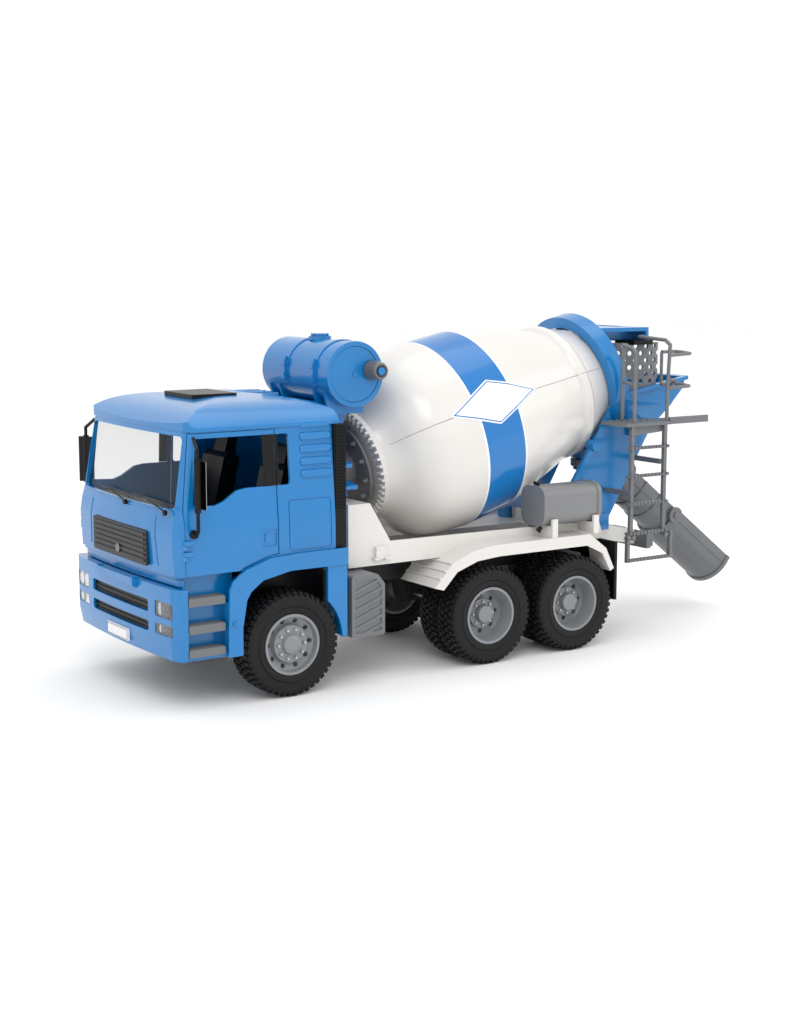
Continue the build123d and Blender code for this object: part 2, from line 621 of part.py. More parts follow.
def crank_disc():
    """The turning end of the tank: disc, through shaft, face gear inside and the knob's pin."""
    cx, cz = TANK_CENTRE.X, TANK_CENTRE.Z
    disc = rod_y(cx, cz, DISC_R, -50.6, -46.5) + rod_y(cx, cz, 2.2, -51.4, -50)
    shaft = rod_y(cx, cz, 3.0, -47, 47.6)
    pitch_y = -TOP_PITCH_R
    root_y = pitch_y - 1.5
    wheel = rod_y(cx, cz, 21.0, root_y - 3, root_y)
    facing = Plane(origin=(cx, root_y, cz), x_dir=ACROSS, z_dir=(0, 1, 0))
    teeth = []
    for step in range(CRANK_TEETH):
        turn = Rot(0, 0, (step + 0.5) * 360 / CRANK_TEETH)
        teeth.append(facing * turn * Pos(CRANK_PITCH_R, 0, -0.2) * tooth(1.9, 1.2, 2.5, 5.0))
    pin = rod_y(cx + KNOB_BACK, cz + KNOB_UP, 3.0, -66.2, -50)
    return disc.fuse(shaft, wheel, pin, *teeth)


def crank_knob():
    """The loose grey finger knob, free to turn on the crank's pin."""
    cx, cz = TANK_CENTRE.X + KNOB_BACK, TANK_CENTRE.Z + KNOB_UP
    plane = Plane(origin=(cx, 0, cz), x_dir=(1, 0, 0), z_dir=(0, -1, 0))
    bore = 3.0 + 0.06
    return turned(plane, [(51.4, bore), (51.4, 8.0), (54, 8.0), (64, 6.8), (65.4, 6.0), (65.4, 4.6),
                          (63.5, 4.2), (63.5, bore)])


# ---- cab ----
CAB_SECTIONS = [
    (CAB_FLOOR, CAB_FRONT, 91.5), (128.0, CAB_FRONT - 1.2, 91.2), (137.0, CAB_FRONT, 90.8),
    (148.0, CAB_FRONT + 2.6, 89.8), (CAB_EAVES, CAB_FRONT + 11.5, 86.0),
]


def cab_section(height, front, half_width, inset):
    """One level plan of the cab, as its outside or as the inside of its walls."""
    return Pos(0, 0, height) * nose_face(front + inset, half_width - inset, CAB_REAR - inset)


@lru_cache
def cab_body(inset):
    """The cab's body below the eaves, tapering inward on its way up."""
    total = None
    for low, high in zip(CAB_SECTIONS, CAB_SECTIONS[1:]):
        piece = loft([cab_section(*low, inset), cab_section(*high, inset)], ruled=True)
        total = piece if total is None else total + piece
    return total


@lru_cache
def cab_roof(inset):
    """The domed roof: a long arch from the side and a shallow one from the front, cut together."""
    low = CAB_EAVES
    eaves = 87.4 - inset
    back = 44.0 - inset
    nose = CAB_FRONT + 10.7 + inset
    crown = CAB_CROWN - inset
    side_view = make_face([
        Line((nose, low), (nose, low + 3)), Spline((nose, low + 3), (-70, crown - 7.5), (-42, crown - 2),
                                                   (0, crown), (30, crown - 4), (back, crown - 10)),
        Polyline((back, crown - 10), (back, low), (nose, low)),
    ])
    front_view = make_face([
        Line((-eaves, low), (-eaves, low + 2.5)),
        Spline((-eaves, low + 2.5), (-76, crown - 8), (-45, crown - 1.6), (0, crown), (45, crown - 1.6),
               (76, crown - 8), (eaves, low + 2.5)),
        Polyline((eaves, low + 2.5), (eaves, low), (-eaves, low)),
    ])
    long_arch = extrude(Pos(0, -100, 0) * (Plane.XZ * side_view), amount=200, dir=(0, 1, 0))
    wide_arch = extrude(Pos(-120, 0, 0) * (Plane.YZ * front_view), amount=200, dir=(1, 0, 0))
    plan = extrude(Pos(0, 0, low) * nose_face(nose, eaves, back), amount=30, dir=(0, 0, 1))
    return long_arch & wide_arch & plan


DOOR_OUTLINE = [(-86.6, 100.4), (-43, 100.4), (-40.4, 102.4), (-19.8, 109.2), (-11.4, 110.4),
                (-11.4, 201.6), (-78.6, 201.6), (-86.6, 146)]
WINDOW_OUTLINE = [(-79.4, 150.5), (-62, 149.6), (-55, 152), (-44, 159), (-36, 160.4), (-14.2, 160.4),
                  (-14.2, 198), (-75.6, 198)]
DOOR_GAP = 0.4
DOOR_HINGE = (-87.3, -93.0)
KNUCKLE_R = 1.3
HINGE_PIN_R = 0.6
HINGE_HEIGHTS = (112.0, 120.0)


def door_cutter(grow):
    """The door's outline as a cutter through the left side, larger all round by grow."""
    if grow == 0:
        return slab_y(DOOR_OUTLINE, -100, -80)
    left, right, low, high = -86.6 - grow, -11.4 + 2 * grow, 100.4 - grow, 201.6 + grow
    points = [(left, low - 5), (-43 + grow, low - 5), (-43 + grow, low), (-40.2 + grow, 102.0 - grow),
              (-19.8, 109.2 - grow), (right, 110.2 - grow), (right, high), (-78.6 - grow, high),
              (left, 146 + grow)]
    return slab_y(points, -100, -80)


def cab_shell():
    """The blue cab body: hollow, with openings for the doors, the windscreen and rear quarter panes."""
    shell = cab_body(0) + cab_roof(0)
    room = cab_body(CAB_WALL) - block(-120, 60, -95, 95, CAB_FLOOR - 1, CAB_FLOOR + 3)
    shell = shell - room - cab_roof(CAB_WALL)
    screen = [(-80, 148), (-60, 147.2), (0, 146.6), (60, 147.2), (80, 148), (77.5, 199), (-77.5, 199)]
    shell = shell - slab_x(screen, -110, -70, 4)
    grille_seat = slab_x([(-48, 102.5), (48, 102.5), (48, 129), (-48, 129)], -99, -95.4, 2)
    shell = shell - grille_seat
    for side in (-1, 1):
        cutter = door_cutter(DOOR_GAP)
        pane = slab_y([(-9.4, 160.4), (0.6, 160.4), (0.6, 198), (-9.4, 198)], -100, -80, 2.4)
        louvres = []
        for step in range(5):
            z = 164 + 9.2 * step
            louvres.append(slab_y([(10, z), (36, z), (36, z + 6.4), (10, z + 6.4)], -92, -86, 3))
        hatch = slab_y([(-2, 111), (34.7, 111), (34.7, 149), (-2, 149)], -95, -80, 3)
        hatch = hatch - slab_y([(-1.2, 111.8), (33.9, 111.8), (33.9, 148.2), (-1.2, 148.2)], -95, -80, 2.4)
        hatch = hatch & (cab_body(0) - cab_body(0.6))
        column_seat = block(38, 60, -95, -84, 108, CAB_EAVES)
        if side > 0:
            cutter, pane, hatch, column_seat = [mirrored(s) for s in (cutter, pane, hatch, column_seat)]
            louvres = [mirrored(s) for s in louvres]
        band = cab_body(-0.9) - cab_body(0.5)
        shell = shell - cutter - pane - hatch - column_seat
        shell = shell.fuse(*[louvre & band for louvre in louvres])
        low, high = sorted((side * 35.5, side * 41.5))
        pivot_x, pivot_z = CAB_PIVOT
        lug = block(pivot_x - 3.3, pivot_x + 3.3, low, high, pivot_z, CAB_FLOOR + 1)
        lug = lug + rod_y(pivot_x, pivot_z, 3.3, low, high)
        shell = shell + lug - rod_y(pivot_x, pivot_z, CAB_PIN_R + RUNNING_FIT, low - 1, high + 1)
    shell = shell - block(38, 60, -84, -81.6, 106, 206) - block(38, 60, 81.6, 84, 106, 206)
    inner_wall = block(34, 38, -86, -79.2, 103, 200) + block(36, CAB_REAR, -81.6, -79.2, 103, 202)
    shell = shell + inner_wall + mirrored(inner_wall)
    for side in (-1, 1):
        hinge_x, hinge_y = DOOR_HINGE[0], side * -DOOR_HINGE[1]
        for z in HINGE_HEIGHTS:
            knuckle = rod((hinge_x, hinge_y, z), (hinge_x, hinge_y, z + 3), KNUCKLE_R)
            root = block(hinge_x - KNUCKLE_R, hinge_x + 0.2, *sorted((side * 88.6, hinge_y)), z, z + 3)
            bore = rod((hinge_x, hinge_y, z - 1), (hinge_x, hinge_y, z + 4), HINGE_PIN_R + RUNNING_FIT)
            shell = shell + knuckle + root - bore
    return shell


def door(side):
    """A door cut from the cab's own side, with an open window, a handle recess and hinge pins."""
    skin = cab_body(0) - cab_body(CAB_WALL)
    panel = skin & door_cutter(0)
    panel = panel - slab_y(WINDOW_OUTLINE, -100, -80)
    recess = slab_y([(-26, 116), (-12.6, 116), (-12.6, 129), (-26, 129)], -95, -90.4, 2)
    handle = slab_y([(-22, 119), (-17, 119), (-17, 126), (-22, 126)], -91.2, -89.8, 1)
    panel = panel - recess + handle
    hinge_x, hinge_y = DOOR_HINGE
    for z in HINGE_HEIGHTS:
        low, high = z + 3.3, z + 6.3
        tab = rod((hinge_x, hinge_y, low), (hinge_x, hinge_y, high), KNUCKLE_R)
        pin = rod((hinge_x, hinge_y, z - 0.3), (hinge_x, hinge_y, low + 1), HINGE_PIN_R)
        leaf = block(hinge_x, hinge_x + 6, hinge_y - KNUCKLE_R, hinge_y + 0.9, low, high)
        foot = block(hinge_x + 3, hinge_x + 6, hinge_y, -90.4, low, high)
        panel = panel + tab + leaf + foot + pin
    return mirrored(panel) if side > 0 else panel


def windscreen():
    """The clear bowed screen that closes the cab's front opening from inside."""
    opening = [(-81, 145.4), (0, 144.6), (81, 145.4), (78.6, 200.4), (-78.6, 200.4)]
    pane = slab_x(opening, -110, -70, 3)
    skin = cab_body(CAB_WALL) - cab_body(CAB_WALL + 1.2)
    return pane & skin & block(-120, -70, -90, 90, 140, CAB_EAVES - 2)


def roof_hatch():
    """The dark hatch on the roof: a thin square lid."""
    outline = [(-46, -25), (-8, -25), (-8, 25), (-46, 25)]
    return slab_z(outline, CAB_CROWN - 2.2, CAB_CROWN + 1.0, 2) - cab_roof(0)


def grille():
    """The dark radiator grille: a plate with horizontal slats."""
    plate = slab_x([(-47.7, 102.8), (47.7, 102.8), (47.7, 128.7), (-47.7, 128.7)], -97.2, -95.4, 2)
    for step in range(6):
        z = 105.5 + 3.8 * step
        plate = plate + slab_x([(-45, z), (45, z), (45, z + 2), (-45, z + 2)], -98.1, -97)
    return plate


def intake_columns():
    """The two black air intakes standing at the cab's rear corners."""
    tall = block(38.3, CAB_REAR, -89.5, -82, 108.3, CAB_EAVES - 0.3)
    return [tall, mirrored(tall)]


def cab_interior():
    """One dark tub: floor mat, two seats with headrests, dashboard and engine hump."""
    floor = CAB_FLOOR + 3.0
    pieces = [block(-84, 34, -76, 76, floor, floor + 3), block(-40, 34, -18, 18, floor + 2, floor + 16)]
    dash = slab_y([(-89, floor + 2), (-60, floor + 2), (-58, 137), (-64, 143), (-84, 143.5), (-89, 140)],
                  -76, 76, 2)
    pieces.append(dash & cab_body(CAB_WALL + 1.6))
    for y in (-48, 48):
        pieces.append(slab_y([(-36, floor + 2), (6, floor + 2), (6, 126), (-36, 122)], y - 19, y + 19, 3))
        back = slab_y([(-4, 118), (12, 120), (22, 168), (13, 172), (8, 168)], y - 18, y + 18, 2.5)
        head = slab_y([(12, 168), (22, 168), (25, 184), (17, 186)], y - 10, y + 10, 2.5)
        pieces.extend([back, head])
    column = rod((-66, -48, 134), (-54, -48, 145), 3)
    pieces.append(column)
    return joined(pieces)


def steering_wheel():
    """A two-spoke steering wheel pushed on the column."""
    plane = Plane(origin=(-52.4, -48, 146.4), x_dir=(0, 1, 0), z_dir=(12, 0, 11))
    rim = plane * Torus(13, 1.3)
    hub = plane * Cylinder(3.6, 3)
    spokes = plane * Box(26, 3, 1.6) + plane * Pos(0, -6.5, 0) * Box(3, 13, 1.6)
    return rim + hub + spokes - rod((-66, -48, 134), (-54, -48, 145), 3.0)


MIRROR_ROD = (-80.0, -98.5)


def mirror_arm(side):
    """The black bracket outside the door: two arms and the upright rod that the mirror turns on."""
    x, y = MIRROR_ROD
    upright = rod((x, y, 133), (x, y, 192), 1.3)
    low = rod((x, y, 133.6), (x, -90.9, 131), 1.5)
    high = rod((x, y, 191.4), (-77, -87.0, 198.6), 1.3)
    knob = rod((x, -93, 130.6), (x, -90.9, 130.6), 3.2)
    arm = joined([upright, low, high, knob]) - cab_body(0)
    return mirrored(arm) if side > 0 else arm


def mirror_head(side):
    """A mirror head: a tall thin housing with a bore for the rod."""
    x, y = MIRROR_ROD
    plate = Pos(x, y, 166) * Rot(0, 0, 56.5) * Box(13, 3.4, 36)
    head = fillet(plate.edges().filter_by(Axis.Z), 1.2) + rod((x, y, 147), (x, y, 185), 2.4)
    head = head - rod((x, y, 140), (x, y, 190), 1.3 + RUNNING_FIT)
    return mirrored(head) if side > 0 else head


# ---- rear frame, hopper, platform and ladder ----
FRAME_Y = 46.0
COLLAR_R = 61.0
COLLAR_REAR = 231.0


def ring_band(s0, s1, r_in, r_out):
    """A plain ring round the drum's axis."""
    return turned(DRUM_PLANE, [(s0, r_in), (s1, r_in), (s1, r_out), (s0, r_out)])


def rear_frame():
    """The blue rear frame: two side plates, slanting stays and the collar round the drum's mouth."""
    side_view = [(296, 104), (341, 99), (357, 124), (378, 160), (380, 186), (352, 206), (322, 164),
                 (293, 122)]
    pieces = []
    collar = ring_band(216, COLLAR_REAR, 51.6, COLLAR_R)
    for step in range(9):
        angle = math.radians(-80 + 20 * step)
        spot = DRUM_PLANE * Pos(56.6 * math.cos(angle), 56.6 * math.sin(angle), COLLAR_REAR - 5)
        notch = extrude(Plane(spot.position, x_dir=ACROSS, z_dir=ALONG) * RegularPolygon(2.2, 3), amount=8)
        collar = collar - notch
    pieces.append(collar)
    for side in (-1, 1):
        plate = slab_y(side_view, *sorted((side * FRAME_Y, side * (FRAME_Y + 4))))
        stay = slab_y([(291, 121), (296, 118), (352, 203), (347, 207)],
                      *sorted((side * (FRAME_Y + 3), side * (FRAME_Y + 6))))
        knuckle = rod_y(323, 166, 5, *sorted((side * FRAME_Y, side * (FRAME_Y + 10))))
        foot = block(302, 338, *sorted((side * FRAME_Y, side * (FRAME_Y + 10))), BED_FLOOR, 106)
        pieces.extend([plate, stay, knuckle, foot])
    pieces.append(block(352, 372, -FRAME_Y - 1, FRAME_Y + 1, 150, 156))
    pieces.append(block(341, 349, -FRAME_Y - 1, FRAME_Y + 1, 112, 118))
    frame = joined(pieces)
    sweep_room = turned(DRUM_PLANE, [(120, 0), (120, 76.5), (183, 61), (198, 61), (205, 54), (205, 0)])
    return frame - sweep_room - hopper_form(0, 0)


OUTLET = (374.0, 0.0)
OUTLET_R = 22.0
OUTLET_TOP = 150.0


def mouth_room():
    """The space taken by the drum's mouth and its collar, which everything behind stays out of."""
    return turned(DRUM_PLANE, [(0, 0), (COLLAR_REAR, 0), (COLLAR_REAR, COLLAR_R + 0.4),
                               (0, COLLAR_R + 0.4)])


def hopper_form(inset, top):
    """The funnel's outside, or its inside when inset, open upward when top is raised."""
    side_view = [(352 + inset, 148 + inset), (397 - inset, 148 + inset), (404 - inset, 176),
                 (424 - inset, 200), (436 - inset, 212), (436 - inset, 221 + top), (352 + inset, 207 + top)]
    front_view = [(-24 + inset, 148 + inset), (24 - inset, 148 + inset), (42 - inset, 196),
                  (42 - inset, 260), (-42 + inset, 260), (-42 + inset, 196)]
    return slab_y(side_view, -60, 60) & slab_x(front_view, 340, 450)


def hopper():
    """The blue hopper behind the drum's mouth: funnel, rim and round outlet for the chute."""
    cx, cy = OUTLET
    rim = slab_y([(352, 203.6), (438, 218), (438, 221.4), (352, 207)], -45, 45)
    funnel = hopper_form(0, 0) + rim - hopper_form(2.4, 40)
    outlet = rod((cx, cy, 138), (cx, cy, OUTLET_TOP), OUTLET_R) + rod((cx, cy, 137), (cx, cy, 139.6), 24)
    funnel = funnel + outlet - rod((cx, cy, 130), (cx, cy, 160), OUTLET_R - 2)
    return funnel - mouth_room()


def hopper_guard():
    """Two curved grey splash guards on the hopper's rim, punched with staggered round holes."""
    cheeks = []
    for side in (-1, 1):
        wall = rod((390, 0, 205), (390, 0, 252), 42.0) - rod((390, 0, 200), (390, 0, 260), 40.0)
        wall = wall & slab_z([(350, -60), (416, -60), (390, -1), (350, -30)], 200, 260)
        cutters = []
        for row in range(6):
            for column in range(5):
                angle = math.radians(-128 + 15 * column + 7.5 * (row % 2))
                z = 218 + 6.2 * row
                out = Vector(math.cos(angle), math.sin(angle), 0)
                start = Vector(390, 0, z) + out * 36
                cutters.append(rod(tuple(start), tuple(start + out * 10), 2.1))
        underside = [(340, 190), (440, 190), (440, 221.8), (352, 207), (340, 207)]
        wall = wall.cut(*cutters) - slab_y(underside, -60, 60)
        wall = max((wall - mouth_room()).solids(), key=lambda piece: piece.volume)
        cheeks.append(mirrored(wall) if side > 0 else wall)
    return cheeks


def hopper_hood():
    """The blue hood over the hopper: a flat roof off the collar with a grab slot at its end."""
    roof = slab_z([(330, -34), (392, -42), (392, 42), (330, 34)], 262, 265.5)
    roof = roof - block(376, 388, -16, 16, 255, 270)
    lip = block(389, 392, -42, 42, 252, 263)
    return roof + lip - mouth_room()


LADDER_Y = -85.0
PLATFORM_Z = 187.0


def platform():
    """The grey standing platform: dimpled plate, front fascia and a small tray to the rear."""
    plate = block(329, 380, -87, -54.2, PLATFORM_Z - 3, PLATFORM_Z)
    dots = []
    for row in range(4):
        for column in range(6):
            spot = Pos(337 + 7.4 * column, -80 + 7.6 * row, PLATFORM_Z)
            dots.append(spot * Cylinder(1.5, 1.2))
    fascia = slab_y([(341, 176), (372, 178), (376, PLATFORM_Z - 2), (337, PLATFORM_Z - 2)], -83.2, -80.8)
    tray = block(379, 424, -86, -62, PLATFORM_Z - 3, PLATFORM_Z)
    tray = tray + block(379, 424, -86, -84, PLATFORM_Z - 1, PLATFORM_Z + 3)
    brace = block(364, 372, -56, -FRAME_Y - 4, 172, PLATFORM_Z)
    return (plate + fascia + tray + brace).fuse(*dots)


def tube(points, radius):
    """A round bar bent through a list of points, with ball-shaped corners."""
    pieces = [rod(a, b, radius) for a, b in zip(points, points[1:])]
    pieces.extend(Pos(*p) * Sphere(radius) for p in points[1:-1])
    return joined(pieces)


def platform_rails():
    """The grey hand rails round the platform, with two grab loops at the rear."""
    floor = PLATFORM_Z + 0.8
    hoop = [(340, -84, floor), (340, -84, 247), (341, -79, 250), (343, -65, 252), (343, -65, floor)]
    left = tube(hoop, 1.6)
    left_bar = tube([(340, -84, 219), (343, -65, 221)], 1.4)
    right = tube([(377, -84, floor), (377, -84, 216), (379, -84, 252), (378, -79, 256), (380, -44, 257.5),
                  (386, -41.6, 257.5)], 1.6)
    rear = tube([(390, -70, floor), (390, -70, 214), (388, -82, 222), (379, -84, 222)], 1.4)
    pieces = [left, left_bar, right, rear]
    for z in (243.0, 215.0):
        pieces.append(tube([(378.2, -84, z), (402, -84, z + 1), (404, -74, z + 1.5), (402, -66, z + 2),
                            (386, -66, z + 2)], 1.5))
    pieces.append(tube([(386, -66, 217), (386, -66, 245)], 1.4))
    return joined(pieces)


LADDER_TOP = PLATFORM_Z - 3.0
FOLD_Z = 92.0
RUNG_STEP = 24.0


def ladder_rung(z, left, right, y):
    """One flat ladder tread with a toothed front edge."""
    tread = block(left, right, y - 2.4, y + 2.4, z - 1.1, z + 1.1)
    teeth = []
    for step in range(int((right - left) / 4)):
        x = left + 1.5 + 4 * step
        teeth.append(block(x, x + 2, y - 3.2, y - 2.2, z - 1.1, z + 1.6))
    return tread.fuse(*teeth)


def ladder_upper():
    """The fixed ladder: two flat rails and four treads below the platform."""
    pieces = []
    for x in (337.0, 374.0):
        pieces.append(block(x - 1.7, x + 1.7, -86.6, -83.4, FOLD_Z - 4, LADDER_TOP))
    for step in range(4):
        pieces.append(ladder_rung(FOLD_Z + RUNG_STEP * step + (1.5 if step else 0), 333.0, 378.0, LADDER_Y))
    ladder = joined(pieces)
    return ladder + block(337, 341, -84, -50, 124, 128) + block(370, 374, -84, -50, 150, 154)


FOLD_Y = -88.4


def ladder_lower():
    """The folding foot of the ladder, hung outside the rails on two pins."""
    pieces = []
    for x in (331.2, 379.8):
        pieces.append(block(x - 1.5, x + 1.5, FOLD_Y - 1.8, FOLD_Y + 1.8, 68, FOLD_Z - 2))
        pieces.append(rod((x - 1.5, FOLD_Y, FOLD_Z - 3), (x + 1.5, FOLD_Y, FOLD_Z - 3), 2.6))
    pieces.append(ladder_rung(69.5, 331.0, 380.0, FOLD_Y))
    foot = joined(pieces)
    for x in (331.2, 379.8):
        foot = foot - rod((x - 3, FOLD_Y, FOLD_Z - 3), (x + 3, FOLD_Y, FOLD_Z - 3), 1.2 + RUNNING_FIT)
    return foot


def ladder_pins():
    """The two short pins, moulded on the fixed ladder, that carry the folding foot."""
    pieces = []
    for x, out in ((337.0, -1), (374.0, 1)):
        root = x + out * 0.5
        pieces.append(rod((root, FOLD_Y, FOLD_Z - 3), (x + out * 7.6, FOLD_Y, FOLD_Z - 3), 1.2))
        pieces.append(block(*sorted((x - 1.7, x + 1.7)), FOLD_Y - 2, -86, FOLD_Z - 5, FOLD_Z - 1.2))
    return joined(pieces)


def additive_tank():
    """The long grey tank over the left mudguard, with a rim and a latch at its rear end."""
    lying = [(-89.6, 107.0), (-59.6, 107.0), (-59.6, 139.2), (-89.6, 139.2)]
    body = slab_x(lying, 240, 297, 9)
    rim = slab_x([(-90.4, 106.4), (-58.8, 106.4), (-58.8, 140.0), (-90.4, 140.0)], 296.4, 300, 9.6)
    rim = rim + slab_x([(-90.2, 106.6), (-59.0, 106.6), (-59.0, 139.8), (-90.2, 139.8)], 239, 242, 9.4)
    latch = block(299, 302.5, -83, -77, 112, 128) + block(301, 304, -82, -78, 114, 118)
    return body + rim + latch


def rear_light_bar():
    """The grey rear cross bar: ribbed lamp boxes at both ends and a tongue with a coupling hole."""
    bar = block(377, 382, -62, 62, 72, 86)
    for side in (-1, 1):
        for step in range(5):
            y = side * (36 + 5.2 * step)
            bar = bar + block(381, 386, *sorted((y, y + side * 3.6)), 73, 85)
    tongue = slab_z([(381, -12), (394, -8), (401, -8), (401, 8), (394, 8), (381, 12)], 74, 82)
    return bar + tongue - rod((395, 0, 70), (395, 0, 90), 2.6)


# ---- discharge chute ----
CHUTE_SLOPE = 37.5
TRUNNION = Vector(391.6, 0, 133.5)
CHUTE_JOINT_AT = 70.0
CHUTE_END_AT = 84.0
UPPER_HALF = 20.5
LOWER_HALF = 23.6
TROUGH_WALL = 2.0
TROUGH_RISE = 6.0
DOWN = Vector(math.cos(math.radians(CHUTE_SLOPE)), 0, -math.sin(math.radians(CHUTE_SLOPE)))
CHUTE_JOINT = TRUNNION + DOWN * CHUTE_JOINT_AT


def trough(start, low, high, half):
    """An open trough with a half-round bottom, laid down the slope from a point on its centre line."""
    plane = Plane(origin=start + DOWN * low, x_dir=(0, 1, 0), z_dir=DOWN)
    upright = 1 if (plane.y_dir.Z > 0) else -1
    room = half - TROUGH_WALL
    solid = Circle(half) + Pos(0, upright * TROUGH_RISE / 2) * Rectangle(2 * half, TROUGH_RISE)
    hollow = Circle(room) + Pos(0, upright * 30) * Rectangle(2 * room, 60)
    above = Pos(0, upright * (30 + TROUGH_RISE)) * Rectangle(4 * half, 60)
    return extrude(plane * (solid - hollow - above), amount=high - low)


def chute_yoke():
    """The swivelling yoke: a ring that turns on the hopper's outlet, with two arms for the chute."""
    cx, cy = OUTLET
    ring = rod((cx, cy, 140), (cx, cy, 146.4), 26.0)
    arms = []
    for side in (-1, 1):
        view = [(376, 146.4), (392, 146.4), (397, 138), (395.5, 129.5)]
        view = view + [(388, 129.5), (384, 140), (376, 140)]
        arms.append(slab_y(view, *sorted((side * 21.0, side * 24.6))))
    yoke = ring.fuse(*arms) - rod((cx, cy, 136), (cx, cy, 150), OUTLET_R + RUNNING_FIT)
    yoke = yoke - rod((cx, cy, 130), (cx, cy, 140), 24.4)
    return yoke - rod_y(TRUNNION.X, TRUNNION.Z, 2.5 + RUNNING_FIT, -30, 30)


def chute_upper():
    """The upper chute: a trough with trunnions at the yoke and pins for the folding end."""
    body = trough(TRUNNION, -18, CHUTE_JOINT_AT + 2, UPPER_HALF)
    body = body - block(340, 403, -30, 30, 132.5, 200)
    for side in (-1, 1):
        inner, outer = side * (UPPER_HALF - 1.5), side * 24.4
        ear = rod_y(TRUNNION.X, TRUNNION.Z, 4.6, *sorted((inner, side * UPPER_HALF)))
        pin = rod_y(TRUNNION.X, TRUNNION.Z, 2.5, *sorted((inner, outer)))
        end_pin = rod_y(CHUTE_JOINT.X, CHUTE_JOINT.Z, 3.0, *sorted((side * (UPPER_HALF - 1), side * 25.4)))
        body = body + ear + pin + end_pin
    ribs = []
    for at in (22.0, 44.0):
        plane_rib = trough(TRUNNION, at, at + 2.4, UPPER_HALF + 1.0)
        ribs.append(plane_rib - trough_fill(TRUNNION, at - 1, at + 4, UPPER_HALF - 0.5))
    return body.fuse(*ribs)


def trough_fill(start, low, high, half):
    """The solid that would fill a trough, used to trim what stands in its channel."""
    plane = Plane(origin=start + DOWN * low, x_dir=(0, 1, 0), z_dir=DOWN)
    upright = 1 if (plane.y_dir.Z > 0) else -1
    opening = Circle(half) + Pos(0, upright * 30) * Rectangle(2 * half, 60)
    return extrude(plane * opening, amount=high - low)


def chute_lower():
    """The folding end of the chute, a wider trough whose cheeks turn on the upper one's pins."""
    body = trough(CHUTE_JOINT, -1.0, CHUTE_END_AT, LOWER_HALF)
    for side in (-1, 1):
        near, far = sorted((side * (LOWER_HALF - TROUGH_WALL), side * (LOWER_HALF + 0.8)))
        cheek = rod_y(CHUTE_JOINT.X, CHUTE_JOINT.Z, 7.5, near, far)
        body = body + cheek
    end_ring = trough(CHUTE_JOINT, CHUTE_END_AT - 4, CHUTE_END_AT, LOWER_HALF + 1.2)
    end_ring = end_ring - trough_fill(CHUTE_JOINT, CHUTE_END_AT - 5, CHUTE_END_AT + 1, LOWER_HALF - 0.5)
    body = body + end_ring
    return body - rod_y(CHUTE_JOINT.X, CHUTE_JOINT.Z, 3.0 + RUNNING_FIT, -40, 40)


# ---- every sub-part is built and written ----
def main():
    """Builds the whole toy and writes one file per sub-part."""
    os.makedirs("parts", exist_ok=True)
    wheels()
    drum_parts()
    single = {
        "chassis_frame": chassis_frame, "engine_block": engine_block, "front_bumper": front_bumper,
        "mixer_bed": mixer_bed, "gearbox": gearbox, "drum_tower": drum_tower, "water_tank": water_tank,
        "tank_end_cap": tank_end_cap, "rear_frame": rear_frame, "hopper": hopper,
        "hopper_hood": hopper_hood, "platform": platform, "platform_rails": platform_rails,
        "additive_tank": additive_tank, "rear_light_bar": rear_light_bar, "cab_shell": cab_shell,
        "windscreen": windscreen, "roof_hatch": roof_hatch, "grille": grille,
        "cab_interior": cab_interior, "steering_wheel": steering_wheel, "drive_shaft": drive_shaft,
        "crank_disc": crank_disc, "crank_knob": crank_knob, "ladder_lower": ladder_lower,
        "chute_yoke": chute_yoke, "chute_upper": chute_upper, "chute_lower": chute_lower,
    }
    for name, build in single.items():
        save(name, build())
    save("ladder_upper", ladder_upper() + ladder_pins())
    groups = {"headlamps": headlamps, "step_treads": step_treads, "mudflaps": mudflaps,
              "hopper_guard": hopper_guard, "intake_columns": intake_columns}
    for name, build in groups.items():
        save(name, *build())
    for word, side in (("left", -1), ("right", 1)):
        for name, build in (("wheel_arch", wheel_arch), ("battery_box", battery_box),
                            ("rear_fender", rear_fender)):
            piece = build()
            save(f"{name}_{word}", mirrored(piece) if side > 0 else piece)
        for name, build in (("door", door), ("mirror_arm", mirror_arm), ("mirror_head", mirror_head)):
            save(f"{name}_{word}", build(side))


if __name__ == "__main__":
    main()
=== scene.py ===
import json
import math

import bmesh
import bpy
from mathutils import Matrix, Vector
from mathutils.bvhtree import BVHTree


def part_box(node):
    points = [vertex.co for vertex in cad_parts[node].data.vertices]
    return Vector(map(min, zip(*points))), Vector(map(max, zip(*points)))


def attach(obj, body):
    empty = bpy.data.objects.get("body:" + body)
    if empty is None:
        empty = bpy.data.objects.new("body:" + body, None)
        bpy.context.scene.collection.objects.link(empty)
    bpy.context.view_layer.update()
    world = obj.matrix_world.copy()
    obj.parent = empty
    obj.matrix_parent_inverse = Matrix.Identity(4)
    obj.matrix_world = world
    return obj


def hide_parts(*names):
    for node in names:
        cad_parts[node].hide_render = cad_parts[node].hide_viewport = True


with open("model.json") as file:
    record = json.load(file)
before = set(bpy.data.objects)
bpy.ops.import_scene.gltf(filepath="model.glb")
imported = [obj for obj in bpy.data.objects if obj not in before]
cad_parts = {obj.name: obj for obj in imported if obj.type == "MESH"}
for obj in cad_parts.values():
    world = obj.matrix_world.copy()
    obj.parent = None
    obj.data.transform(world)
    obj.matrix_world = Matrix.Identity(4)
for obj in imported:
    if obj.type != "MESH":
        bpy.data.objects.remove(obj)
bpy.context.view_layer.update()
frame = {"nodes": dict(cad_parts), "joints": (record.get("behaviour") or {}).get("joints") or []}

nodes = frame["nodes"]
joints = {joint["name"]: joint for joint in frame["joints"]}

# ---- cab shell and doors ----
# The cab is one hollow ABS moulding with a domed roof. Its two doors are cut from the same tool and hang
# on pins at their front edge. The plastic comes glossy out of the mould, with softly rounded edges.
front_axle_x = joints["front_spin"]["pos_m"][0]


